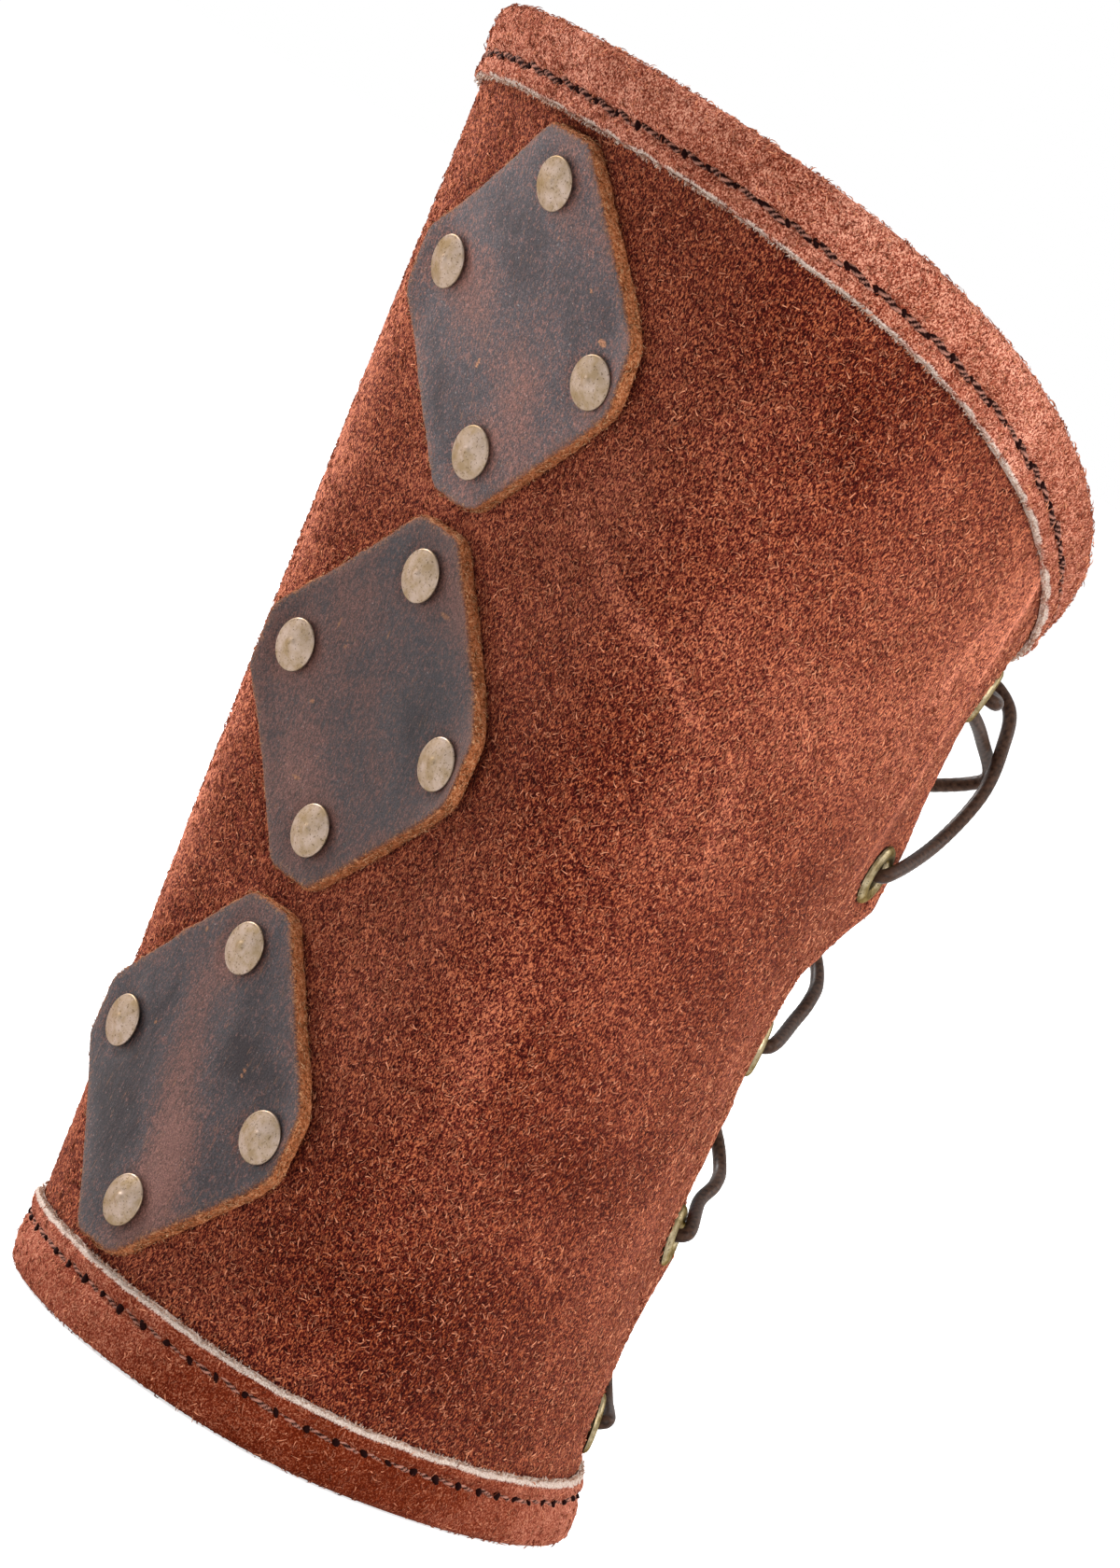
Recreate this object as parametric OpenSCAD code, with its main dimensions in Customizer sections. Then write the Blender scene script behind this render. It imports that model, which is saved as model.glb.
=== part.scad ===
// Laced suede bracer for the forearm, with three riveted leather plates on its front
// The sleeve stands on its wrist rim, with the plates towards -Y and the lacing gap towards +Y

/* [Sleeve] */
// Height over the plates, from rim to rim
sleeve_h = 224.5; // [205:0.5:240]
// Height of the elbow rim at the lacing edges
edge_h = 180; // [176:1:190]
// Thickness of the suede
suede_t = 1.5; // [1:0.1:2.2]
// Half of the girth at the wrist, from the front centre to a lacing edge
wrist_half = 138; // [130:1:145]
// Half of the girth at half height
waist_half = 150; // [143:1:157]
// Half of the girth at the elbow
elbow_half = 183; // [174:1:192]
// How far the elbow end flares forward of the wrist end
flare = 28.5; // [20:0.5:34]
// How far the front stands forward of the wrist rim at half height
waist_forward = 2.2; // [0:0.2:8]

/* [Bindings] */
// Thickness of the folded binding strips
binding_t = 1.2; // [0.8:0.1:1.6]
// Width of a binding strip on each side of the rim
binding_w = 12.5; // [10:0.5:13]
// How far the wrist strip sticks out past each lacing edge
strip_overhang = 1.5; // [0:0.5:2.5]

/* [Plates] */
// Width of a leather plate, corner to corner
plate_w = 59; // [56:1:64]
// Height of the lower plate's bottom end above the wrist rim
plates_foot = 14; // [13:0.5:15]
// Distance from the upper plate's top end to the elbow rim
plates_head = 13; // [12:0.5:14]
// Gap between the lower and the middle plate
lower_gap = 5; // [4:0.5:7]
// Gap between the middle and the upper plate
upper_gap = 3.5; // [3:0.5:6]
// Thickness of a leather plate
plate_t = 3; // [2:0.1:4]
// Width of the straight end that cuts off each corner
corner_cut = 11; // [9:0.5:14]
// How far the plates' side corners stand off the suede
corner_lift = 1.2; // [0:0.1:2]
// Rounding radius of the outline
corner_r = 4.5; // [3:0.5:6]

/* [Rivets] */
// Diameter of a rivet's cap
rivet_d = 9; // [8:0.5:10]
// Height of the cap's dome
dome_h = 1.1; // [0.8:0.1:1.6]
// Distance from the side rivets' centres to the plate's side corners
rivet_side_inset = 7.7; // [6.5:0.1:8.5]
// Distance from the top and bottom rivets' centres to the plate's ends
rivet_end_inset = 8.6; // [7.5:0.1:10]
// Diameter of the rivet's hollow shank
shank_d = 3.6; // [3:0.1:4]

/* [Eyelets] */
// Eyelets along each lacing edge
eyelet_count = 5; // [3:1:5]
// Outer diameter of an eyelet
eyelet_d = 11; // [9.5:0.5:11.5]
// Diameter of the hole in an eyelet
eyelet_hole = 5.6; // [5:0.1:6]
// Distance from the lacing edge to the eyelets' centres
eyelet_inset = 9; // [8:0.5:11]
// Height of the lowest eyelets
lowest_eyelet_z = 20; // [19.5:0.1:21]
// Height from one eyelet to the next
eyelet_pitch = 35.1; // [33:0.1:35.2]

/* [Lace] */
// Diameter of the round lace
lace_d = 2.2; // [1.8:0.1:2.4]
// How loose the strands are that start on the near edge, from 0 for straight to 1 as in the photo
looseness = 1; // [0.8:0.05:1.05]

/* [Hidden] */
// Clearance between pieces that lie on each other
seat = 0.15;
// Radial clearance of shanks and eyelet barrels in their holes
hole_gap = 0.15;
// Places that put the middle of the footprint on the origin
setback = -46.6;

// Shares of the half girth where the front ends and where the corner lies
front_share = 0.2;
corner_from = 0.17;
corner_span = 0.26;
// Half girth, turn over the front, over the corner and over the side, and the front's place
wrist_section = [wrist_half, 29, 32, 72, 0];
waist_section = [waist_half, -4, 65, 89, -waist_forward];
elbow_section = [elbow_half, 22, 37, 78, -flare];
section_steps = 90;
steps_to_edge = 84;

// The elbow rim falls from the front to the lacing edges, partly along this power of the girth
rim_power = 1.5;
rim_even_share = 0.4;
// The most that the lace pulls the lacing edges out, and its share at a share of their height
most_pull = 9;
edge_pull = [[0, -0.22], [0.11, -0.28], [0.28, 0.44], [0.34, 0.22], [0.43, 0.33], [0.54, 0.06], [0.66, 1],
    [0.73, 0.83], [0.79, 0.56], [0.89, 0.17], [1, 0.13]];
// Share of the half girth where that pull begins
pull_from = 0.84;

// Stations along the sleeve, close together at the corners
half_stations = concat([0, 0.05, 0.1, 0.15], [for (i = [0:8]) 0.19 + 0.22 * i / 8],
    [for (i = [1:11]) 0.41 + 0.59 * i / 11]);
stations = concat([for (i = [len(half_stations) - 1:-1:1]) -half_stations[i]], half_stations);
sleeve_rows = 24;

// The fold of a binding, round the sheet's middle
fold_in = suede_t / 2 + seat;
fold_out = fold_in + binding_t;
fold_flat = 0.5;
wrist_rim = fold_out - fold_flat;
rim_slope_step = 0.01;

// The three plates share the height that the margins and gaps leave
plate_h = (sleeve_h - plates_foot - lower_gap - upper_gap - plates_head) / 3;
lower_plate_z = plates_foot + plate_h / 2;
middle_plate_z = lower_plate_z + plate_h + lower_gap;
upper_plate_z = middle_plate_z + plate_h + upper_gap;
rivets_across = plate_w - 2 * rivet_side_inset;
rivets_up = plate_h - 2 * rivet_end_inset;
// Rivets of a plate as shares of the distances across and up
rivet_spots = [["top", 0, 0.5], ["left", -0.5, 0], ["right", 0.5, 0], ["bottom", 0, -0.5]];
// Name, height, shift to the side and turn of each plate, then the slants of its two pairs of rivets
plates = [["upper", upper_plate_z, -4.8, 0, -6, 1], ["middle", middle_plate_z, -5.2, 0, -3.5, 0],
    ["lower", lower_plate_z, -4.8, 1.5, -1, 5]];
// Distance of the rivets' middle from the plate's own middle
rivets_shift = 1;
rivet_rim = 0.35;
bump_r = 0.9;
bump_h = 0.25;
shank_wall = 0.5;
post_t = 0.8;
arc_steps = 6;

// Eyelet sheet thickness and how high its rims stand on the suede
eyelet_wall = 0.35;
eyelet_rise = 1;
eyelet_back_d = eyelet_hole + 3.4;
sides = [["near", 1], ["far", -1]];

lace_sides = 8;
lace_steps = 4;
lace_gap = 0.5;
knot_r = 1.5 * lace_d;
// Free points of each strand, from the lowest up: towards its own edge from the gap's middle,
// out behind the edges and up from its eyelet
tight = [[17.5, 3.5, 3], [9, 3, 9], [0, 1.5, 17], [-10, 0, 25]];
near_strands = [
    [[16.5, 3, 3], [9, 4.5, 9], [0, 4.5, 17], [-10, 2, 26]],
    [[15, 4, 5.5], [11.5, 9, 8.5], [7, 12.5, 11], [1, 12.5, 16], [-7, 6.5, 24], [-12, -0.5, 31]],
    [[15, 2.5, 5.5], [11.5, 7, 9], [7, 11, 12], [1, 12.5, 16], [-7, 7, 24], [-13, 1, 31]],
    [[16, 9, 8], [12.5, 16.5, 18.5], [9, 19, 27], [4, 20.5, 33.5], [-3, 17, 36], [-10, 8, 33]]];
far_strands = [tight, tight, tight,
    [[13, 11, 7], [7, 19, 12.5], [0, 25, 18], [-4, 24.5, 21.5], [-8, 15, 26.5], [-12, 6, 30]]];

function ease(u) = let (v = max(0, min(1, u))) v * v * (3 - 2 * v);
function unit(v) = v / norm(v);

// Direction of the section at a share of the half girth, in degrees from the front
function turn(section, share) =
    section[1] * min(share / front_share, 1)
    + section[2] * ease((share - corner_from) / corner_span)
    + section[3] * max(0, share - front_share) / (1 - front_share);

// Points of a section from the front centre to just past the lacing edge
function section_points(section) = [
    for (i = 0, a = 0, x = 0, y = section[4];
        i <= section_steps;
        a = turn(section, (i + 0.5) / steps_to_edge),
        x = x + cos(a) * section[0] / steps_to_edge,
        y = y + sin(a) * section[0] / steps_to_edge,
        i = i + 1) [i / steps_to_edge, x, y]];
function column(points, k) = [for (p = points) [p[0], p[k]]];
wrist_points = section_points(wrist_section);
waist_points = section_points(waist_section);
elbow_points = section_points(elbow_section);
section_x = [column(wrist_points, 1), column(waist_points, 1), column(elbow_points, 1)];
section_y = [column(wrist_points, 2), column(waist_points, 2), column(elbow_points, 2)];

// Weights that carry a curve through the three sections
function weights(z) = let (t = z / sleeve_h) [(2 * t - 1) * (t - 1), 4 * t * (1 - t), t * (2 * t - 1)];
function half_girth(z) = weights(z) * [wrist_half, waist_half, elbow_half];

function edge_wave(share, z) =
    most_pull * lookup(z / edge_h, edge_pull) * pow(max(0, (share - pull_from) / (1 - pull_from)), 2);

// The sleeve's outer surface at a signed share of the half girth and a height
function skin(s, z) =
    let (
        share = abs(s),
        w = weights(z),
        x = w * [for (table = section_x) lookup(share, table)],
        y = w * [for (table = section_y) lookup(share, table)],
        a = w * [turn(wrist_section, share), turn(waist_section, share), turn(elbow_section, share)],
        r = edge_wave(share, z)
    ) [sign(s) * (x + r * sin(a)), y - r * cos(a) + setback, z];

function out(s, z) = unit(cross(skin(s + 0.012, z) - skin(s - 0.012, z), skin(s, z + 1) - skin(s, z - 1)));
// A point at the same height, at a distance from the skin
function off_skin(s, z, n) =
    let (o = out(s, z)) skin(s, z) + n * [o[0], o[1], 0] / (o[0] * o[0] + o[1] * o[1]);

function rim_z(s) =
    let (share = min(1, abs(s)))
    sleeve_h - (sleeve_h - edge_h)
    * (rim_even_share * share * share + (1 - rim_even_share) * (1 - cos(180 * pow(share, rim_power))) / 2);
// Length on the rim for each length of height, where the rim slopes
function rim_stretch(s) =
    let (
        share = min(abs(s), 1 - rim_slope_step),
        rise = (rim_z(share + rim_slope_step) - rim_z(share - rim_slope_step)) / (2 * rim_slope_step),
        slope = rise / half_girth(rim_z(share))
    ) sqrt(1 + slope * slope);

// Triangles over a row of rings, with an end cap between the two halves of the first and last ring
function sweep_faces(count, size) = concat(
    [for (i = [0:count - 2], j = [0:size - 1])
        let (a = i * size + j, b = i * size + (j + 1) % size)
        each [[a, b, b + size], [a, b + size, a + size]]],
    [for (j = [0:size / 2 - 2]) let (k = size - 1 - j) each [[j, k, k - 1], [j, k - 1, j + 1]]],
    [for (j = [0:size / 2 - 2])
        let (a = (count - 1) * size + j, b = (count - 1) * size + size - 1 - j)
        each [[a, a + 1, b - 1], [a, b - 1, b]]]);

module sweep(rings) {
    polyhedron(points = [for (ring = rings) each ring], faces = sweep_faces(len(rings), len(rings[0])));
}

// Turns a child's Z axis along a direction, with its Y axis upwards
module facing(p, n) {
    translate(p)
        rotate([0, 0, atan2(n[0], -n[1])])
            rotate([90 - asin(n[2]), 0, 0])
                children();
}
module on_skin(s, z) {
    facing(skin(s, z), out(s, z)) children();
}

// Sleeve, with the suede pressed flat under the eyelets and the rivets' posts
function sleeve_z(s, row) =
    let (high = rim_z(s) - fold_out * rim_stretch(s)) wrist_rim + (high - wrist_rim) * row / sleeve_rows;
module hole(d) {
    cylinder(d = d + 2 * hole_gap, h = 4 * (suede_t + plate_t), center = true, $fn = 32);
}
module press(d, side) {
    translate([0, 0, side > 0 ? 0 : -3 * suede_t])
        cylinder(d = d + 4 * hole_gap, h = 2 * suede_t, $fn = 32);
}

module sleeve() {
    color("#96503c")
        difference() {
            sweep([for (s = stations)
                concat([for (i = [0:sleeve_rows]) skin(s, sleeve_z(s, i))],
                    [for (i = [sleeve_rows:-1:0]) off_skin(s, sleeve_z(s, i), -suede_t)])]);
            for (side = sides, level = [0:eyelet_count - 1]) {
                on_skin(eyelet_share(side[1], level), eyelet_z(level)) {
                    hole(eyelet_barrel_d);
                    press(eyelet_d, 1);
                    press(eyelet_back_d, -1);
                }
            }
            for (plate = plates, spot = rivet_spots) {
                on_skin(rivet_share(plate, spot), rivet_z(plate, spot)) {
                    hole(shank_d);
                    press(rivet_d, -1);
                }
            }
        }
}

// Bindings: a strip folded over the rim, as distances from the sleeve's skin and down from its rim
function fold_path(r, depth, drop) = concat(
    [for (d = [depth, depth / 2, 0]) [r - suede_t / 2, d]],
    [for (a = [30:30:150]) [r * cos(a) - suede_t / 2, -min(drop, r * sin(a))]],
    [for (d = [0, depth / 2, depth]) [-r - suede_t / 2, d]]);
function reversed(list) = [for (i = [len(list) - 1:-1:0]) list[i]];
function fold_profile(drop) =
    let (depth = binding_w - fold_out)
    concat(fold_path(fold_out, depth, drop), reversed(fold_path(fold_in, depth, drop)));

module wrist_binding() {
    profile = fold_profile(wrist_rim);
    past = strip_overhang / wrist_half;
    strip = [for (s = stations) s * (1 + past)];
    color("#b06850")
        sweep([for (s = strip) [for (p = profile) off_skin(s, wrist_rim + p[1], p[0])]]);
}

module elbow_binding() {
    profile = reversed(fold_profile(fold_out));
    color("#b06850")
        sweep([for (s = stations)
            [for (p = profile) off_skin(s, rim_z(s) - (fold_out + p[1]) * rim_stretch(s), p[0])]]);
}

// Plates
function plate_centre(plate) = [plate[2] / half_girth(plate[1]), plate[1]];
function plate_lean(plate) = let (c = plate_centre(plate), n = out(c[0], c[1])) sqrt(1 - n[2] * n[2]);
// A rivet's place on its plate, which the maker's hand has put a little askew
function spot_on(plate, spot) =
    let (u = spot[1] * rivets_across, v = spot[2] * rivets_up, a = plate[4], b = plate[5])
    [rivets_shift + u * cos(a) - v * sin(b), u * sin(a) + v * cos(b)];
function rivet_z(plate, spot) = plate[1] + spot_on(plate, spot)[1] * plate_lean(plate);
function rivet_share(plate, spot) = (plate[2] + spot_on(plate, spot)[0]) / half_girth(rivet_z(plate, spot));

// An outline with every corner rounded by an arc
function rounded(points, r) = [
    for (i = [0:len(points) - 1])
        let (
            p = points[i],
            to_last = unit(points[(i + len(points) - 1) % len(points)] - p),
            to_next = unit(points[(i + 1) % len(points)] - p),
            half = acos(to_last * to_next) / 2,
            centre = p + unit(to_last + to_next) * r / sin(half),
            start = atan2(-to_last[0], to_last[1]) + 180,
            bend = 180 - 2 * half
        )
        for (k = [0:arc_steps]) let (a = start + bend * k / arc_steps) centre + r * [cos(a), sin(a)]];

module plate_outline() {
    w = plate_w / 2;
    h = plate_h / 2;
    c = corner_cut / 2;
    polygon(rounded([[w, -c], [w, c], [c, h], [-c, h], [-w, c], [-w, -c], [-c, -h], [c, -h]], corner_r));
}

// Height of a plate's underside over the suede, which it touches between its side rivets
function lift(plate, s, z) =
    let (u = abs(s * half_girth(z) - plate[2]) - rivets_across / 2)
    seat + corner_lift * pow(max(0, 2 * u / (plate_w - rivets_across)), 2);

function plate_column(plate, s, rows, above) =
    [for (i = rows) let (z = sleeve_z(s, i)) off_skin(s, z, lift(plate, s, z) + above)];

module plate(plate) {
    centre = plate_centre(plate);
    reach = plate_w / 2 + 3;
    girth = half_girth(plate[1]);
    columns = [for (s = stations) if (abs(s * girth - plate[2]) < reach + 8) s];
    rows = [for (i = [0:sleeve_rows]) if (abs(sleeve_z(0, i) - plate[1]) < reach + 10) i];
    color("#4b4141")
        difference() {
            intersection() {
                sweep([for (s = columns)
                    let (under = plate_column(plate, s, rows, 0))
                    concat(plate_column(plate, s, rows, plate_t), reversed(under))]);
                on_skin(centre[0], centre[1])
                    rotate([0, 0, plate[3]])
                        translate([0, 0, -reach / 2])
                            linear_extrude(height = reach)
                                plate_outline();
            }
            for (spot = rivet_spots) {
                on_skin(rivet_share(plate, spot), rivet_z(plate, spot)) {
                    hole(shank_d);
                    translate([0, 0, seat + plate_t]) press(rivet_d, 1);
                }
            }
        }
}

// Rivets: a domed cap with a hollow shank through plate and suede, closed by a post from inside
cap_z = 2 * seat + plate_t;
module rivet_cap() {
    r = rivet_d / 2;
    bore = shank_d / 2 - shank_wall;
    top = cap_z + rivet_rim;
    dome = [for (i = [0:arc_steps + 2])
        let (a = 90 * i / (arc_steps + 3), x = r * cos(a)) [x, top + dome_h * sin(a) + bump(x)]];
    color("#a5916e")
        rotate_extrude($fn = 48)
            polygon(concat(
                [[bore, -suede_t], [shank_d / 2, -suede_t], [shank_d / 2, cap_z], [r, cap_z]],
                dome,
                [[0, top + dome_h + bump(0)], [0, top + seat], [bore, top + seat]]));
}
function bump(x) = x < bump_r ? bump_h * (1 - pow(x / bump_r, 2)) : 0;

module rivet_post() {
    r = rivet_d / 2 - 0.3;
    bore = shank_d / 2 - shank_wall;
    back = -suede_t - seat;
    color("#a5916e")
        rotate_extrude($fn = 48)
            polygon(concat(
                [[0, cap_z + rivet_rim], [bore - seat, cap_z + rivet_rim], [bore - seat, back], [r, back]],
                [for (i = [0:arc_steps])
                    let (a = 90 * i / arc_steps) [r * cos(a), back - 0.3 - (post_t - 0.3) * sin(a)]]));
}

module rivet_place(plate, spot) {
    on_skin(rivet_share(plate, spot), rivet_z(plate, spot)) children();
}

// Eyelets
eyelet_barrel_d = eyelet_hole + 2 * eyelet_wall;
function eyelet_z(level) = lowest_eyelet_z + level * eyelet_pitch;
function eyelet_share(side, level) = side * (1 - eyelet_inset / half_girth(eyelet_z(level)));

// A rolled rim from the hole to a radius, between a base height and a rise above it
function rolled_rim(r_in, r_out, base, rise) = [
    for (i = [0:arc_steps + 2])
        let (a = 180 - 180 * i / (arc_steps + 2))
        [(r_in + r_out) / 2 + (r_out - r_in) / 2 * cos(a), base + rise * sin(a)]];

module eyelet() {
    hole = eyelet_hole / 2;
    barrel = eyelet_barrel_d / 2;
    back = -suede_t - seat;
    color("#968c6e")
        rotate_extrude($fn = 48)
            polygon(concat(
                rolled_rim(hole, eyelet_d / 2, seat, eyelet_rise),
                [[barrel, seat], [barrel, back]],
                reversed(rolled_rim(hole, eyelet_back_d / 2, back, -0.9 * eyelet_rise))));
}

// Lace: out of an eyelet, over the gap and in under the other edge to the eyelet above
function hole_at(side, level, n) =
    let (s = eyelet_share(side, level), z = eyelet_z(level)) skin(s, z) + n * out(s, z);
inside = -suede_t - lace_d / 2 - lace_gap;
outside = lace_d / 2 + lace_gap;
function behind(side, level) = hole_at(side, level, inside - eyelet_rise);
function strand(side, level, points) =
    let (z = eyelet_z(level), edge_y = skin(1, z + eyelet_pitch / 2)[1])
    concat([hole_at(side, level, -suede_t / 2), hole_at(side, level, outside + 0.6) + [0, 0, 1.2]],
        [for (p = points) [side * p[0], edge_y + p[1] * (p[1] > 5 ? looseness : 1), z + p[2]]],
        [off_skin(-side, z + 0.93 * eyelet_pitch, inside), behind(-side, level + 1)]);
top_level = eyelet_count - 1;
// One half of the lace climbs from a knot inside a lowest eyelet, and changes edges at each strand
function climb(side, near, far) = concat(
    [hole_at(side, 0, -suede_t - 9.5), hole_at(side, 0, -suede_t - 6.2), behind(side, 0)],
    [for (level = [0:top_level - 1])
        let (own = level % 2 == 0 ? side : -side) each strand(own, level, (own > 0 ? near : far)[level])]);
lace_route =
    let (last = top_level % 2 == 0 ? 1 : -1, z = eyelet_z(top_level), y = skin(1, z)[1] + outside)
    concat(climb(1, near_strands, far_strands),
        [hole_at(last, top_level, -suede_t / 2), hole_at(last, top_level, outside + eyelet_rise)],
        [off_skin(last, z, outside), [0, y, z + 1], off_skin(-last, z, outside)],
        [hole_at(-last, top_level, outside + eyelet_rise), hole_at(-last, top_level, -suede_t / 2)],
        reversed(climb(-1, near_strands, far_strands)));

// A smooth curve through the route's points
function curve_point(a, b, c, d, t) =
    0.5 * (2 * b + (c - a) * t + (2 * a - 5 * b + 4 * c - d) * t * t + (3 * b - a - 3 * c + d) * t * t * t);
function smooth_route(p) = let (last = len(p) - 1) concat(
    [for (i = [0:last - 1], k = [0:lace_steps - 1])
        curve_point(p[max(i - 1, 0)], p[i], p[i + 1], p[min(i + 2, last)], k / lace_steps)],
    [p[last]]);
function tangents(p) = [for (i = [0:len(p) - 1]) unit(p[min(i + 1, len(p) - 1)] - p[max(i - 1, 0)])];
// Directions across the lace that turn as little as they can from ring to ring
function carried(t) = [
    for (i = 0, u = unit(cross(t[0], [0, 0, 1]));
        i < len(t);
        i = i + 1, u = i < len(t) ? unit(u - t[i] * (u * t[i])) : u) u];

module lace() {
    path = smooth_route(lace_route);
    t = tangents(path);
    u = carried(t);
    end = len(path) - 1;
    color("#463730")
        sweep([for (i = [0:end])
            let (
                from_end = min(i, end - i),
                swell = from_end <= 2 * lace_steps ? sin(180 * (from_end + 0.5) / (2 * lace_steps + 1)) : 0,
                r = max(lace_d / 2, knot_r * swell),
                v = cross(t[i], u[i])
            )
            [for (k = [0:lace_sides - 1])
                let (a = 360 * k / lace_sides) path[i] + r * (cos(a) * u[i] + sin(a) * v)]]);
}

function rivet_name(plate, spot, kind) = str(plate[0], "_plate_", spot[0], "_rivet_", kind);
function eyelet_name(side, level) = str(side[0], "_eyelet_", level + 1);

sleeve();
wrist_binding();
elbow_binding();
for (plate = plates) {
    plate(plate);
    for (spot = rivet_spots) {
        rivet_place(plate, spot) rivet_cap();
        rivet_place(plate, spot) rivet_post();
    }
}
for (side = sides, level = [0:eyelet_count - 1]) {
    on_skin(eyelet_share(side[1], level), eyelet_z(level)) eyelet();
}
lace();
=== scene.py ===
import math

import bpy
import numpy as np
from mathutils import Matrix, Vector


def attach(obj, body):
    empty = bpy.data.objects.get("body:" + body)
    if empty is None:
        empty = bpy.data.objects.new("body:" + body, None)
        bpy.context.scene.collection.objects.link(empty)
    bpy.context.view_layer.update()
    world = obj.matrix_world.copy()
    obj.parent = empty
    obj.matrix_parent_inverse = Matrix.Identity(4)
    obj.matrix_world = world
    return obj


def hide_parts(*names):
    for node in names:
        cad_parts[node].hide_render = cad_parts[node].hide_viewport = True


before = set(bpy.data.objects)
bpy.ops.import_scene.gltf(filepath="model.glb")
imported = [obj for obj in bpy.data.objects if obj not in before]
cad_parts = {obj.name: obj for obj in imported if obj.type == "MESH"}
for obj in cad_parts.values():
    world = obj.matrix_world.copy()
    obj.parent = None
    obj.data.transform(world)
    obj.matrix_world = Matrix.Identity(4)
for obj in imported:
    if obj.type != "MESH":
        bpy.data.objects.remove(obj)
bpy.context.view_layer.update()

# Laced suede bracer: nap, bindings, stitching, oiled plates, brass and lace over the fixed model
mm = 0.001
sheetWide = 380  # mm round the sleeve that the width of a UV square spans

cameraSetup = {
    "place": (819.56, -787.18, 225.93),  # mm
    "azimuth": 46.541,
    "elevation": 5.634,
    "roll": 29.239,
    "lens": 157.92,  # on a 36 mm long side
}

# The suede's own surface, with the sizes that the model has
sleeveForm = {
    "height": 224.5,
    "edgeHeight": 180,
    "suede": 1.5,
    # half girth, turns over the front, corner and side, place of the front
    "sections": [(138, 29, 32, 72, 0), (150, -4, 65, 89, -2.2), (183, 22, 37, 78, -28.5)],
    "frontShare": 0.2,
    "cornerFrom": 0.17,
    "cornerSpan": 0.26,
    "rimPower": 1.5,
    "rimEven": 0.4,
    "mostPull": 9,
    "pullHeights": [0, 0.11, 0.28, 0.34, 0.43, 0.54, 0.66, 0.73, 0.79, 0.89, 1],
    "pulls": [-0.22, -0.28, 0.44, 0.22, 0.33, 0.06, 1, 0.83, 0.56, 0.17, 0.13],
    "pullFrom": 0.84,
    "setback": -46.6,
}
seat = 0.15
bindingSizes = {"thick": 1.2, "wide": 12.5, "overhang": 1.5, "flattened": 0.5}
foldIn = sleeveForm["suede"] / 2 + seat
foldOut = foldIn + bindingSizes["thick"]
wristRim = foldOut - bindingSizes["flattened"]


def ease(u):
    v = np.clip(u, 0, 1)
    return v * v * (3 - 2 * v)


def turnOf(section, share):
    front = sleeveForm["frontShare"]
    return (
        section[1] * np.minimum(share / front, 1)
        + section[2] * ease((share - sleeveForm["cornerFrom"]) / sleeveForm["cornerSpan"])
        + section[3] * np.maximum(0, share - front) / (1 - front)
    )


stepsToEdge, allSteps = 84, 90
curveShares = np.arange(allSteps + 1) / stepsToEdge


def curveOf(section):
    a = np.radians(turnOf(section, (np.arange(allSteps) + 0.5) / stepsToEdge))
    step = section[0] / stepsToEdge
    x = np.concatenate([[0], np.cumsum(np.cos(a) * step)])
    y = np.concatenate([[0], np.cumsum(np.sin(a) * step)]) + section[4]
    return x, y


curves = [curveOf(section) for section in sleeveForm["sections"]]


def weights(z):
    t = z / sleeveForm["height"]
    return (2 * t - 1) * (t - 1), 4 * t * (1 - t), t * (2 * t - 1)


def halfGirth(z):
    return sum(w * section[0] for w, section in zip(weights(z), sleeveForm["sections"]))


# Outer surface in mm at a signed share of the half girth and a height
def skin(s, z):
    s, z = np.broadcast_arrays(np.asarray(s, float), np.asarray(z, float))
    share, w = np.abs(s), weights(z)
    x = sum(w[k] * np.interp(share, curveShares, curves[k][0]) for k in range(3))
    y = sum(w[k] * np.interp(share, curveShares, curves[k][1]) for k in range(3))
    a = np.radians(sum(w[k] * turnOf(sleeveForm["sections"][k], share) for k in range(3)))
    pullFrom = sleeveForm["pullFrom"]
    pull = np.interp(z / sleeveForm["edgeHeight"], sleeveForm["pullHeights"], sleeveForm["pulls"])
    pull = pull * sleeveForm["mostPull"] * (np.maximum(0, share - pullFrom) / (1 - pullFrom)) ** 2
    x, y = np.sign(s) * (x + pull * np.sin(a)), y - pull * np.cos(a) + sleeveForm["setback"]
    return np.stack([x, y, z], -1)


def unit(v):
    return v / np.linalg.norm(v, axis=-1, keepdims=True)


def outward(s, z):
    s, z = np.asarray(s, float), np.asarray(z, float)
    return unit(np.cross(skin(s + 0.012, z) - skin(s - 0.012, z), skin(s, z + 1) - skin(s, z - 1)))


# A point at the same height and at a distance from the skin
def offSkin(s, z, n):
    o = outward(s, z)
    level = o * [1, 1, 0] / (o[..., :1] ** 2 + o[..., 1:2] ** 2)
    return skin(s, z) + np.asarray(n, float)[..., None] * level


def rimHeight(s):
    share = np.minimum(1, np.abs(s))
    fall = sleeveForm["rimEven"] * share**2
    fall = fall + (1 - sleeveForm["rimEven"]) * (1 - np.cos(np.pi * share ** sleeveForm["rimPower"])) / 2
    return sleeveForm["height"] - (sleeveForm["height"] - sleeveForm["edgeHeight"]) * fall


def rimStretch(s):
    share = np.minimum(np.abs(s), 0.99)
    rise = (rimHeight(share + 0.01) - rimHeight(share - 0.01)) / 0.02
    return np.sqrt(1 + (rise / halfGirth(rimHeight(share))) ** 2)


# A seat on the skin: its place, and its axes across, up and out
def seatOn(s, z):
    n = outward(s, z)
    across = unit(np.array([-n[1], n[0], 0]))
    return skin(s, z), across, np.cross(n, across), n


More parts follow.
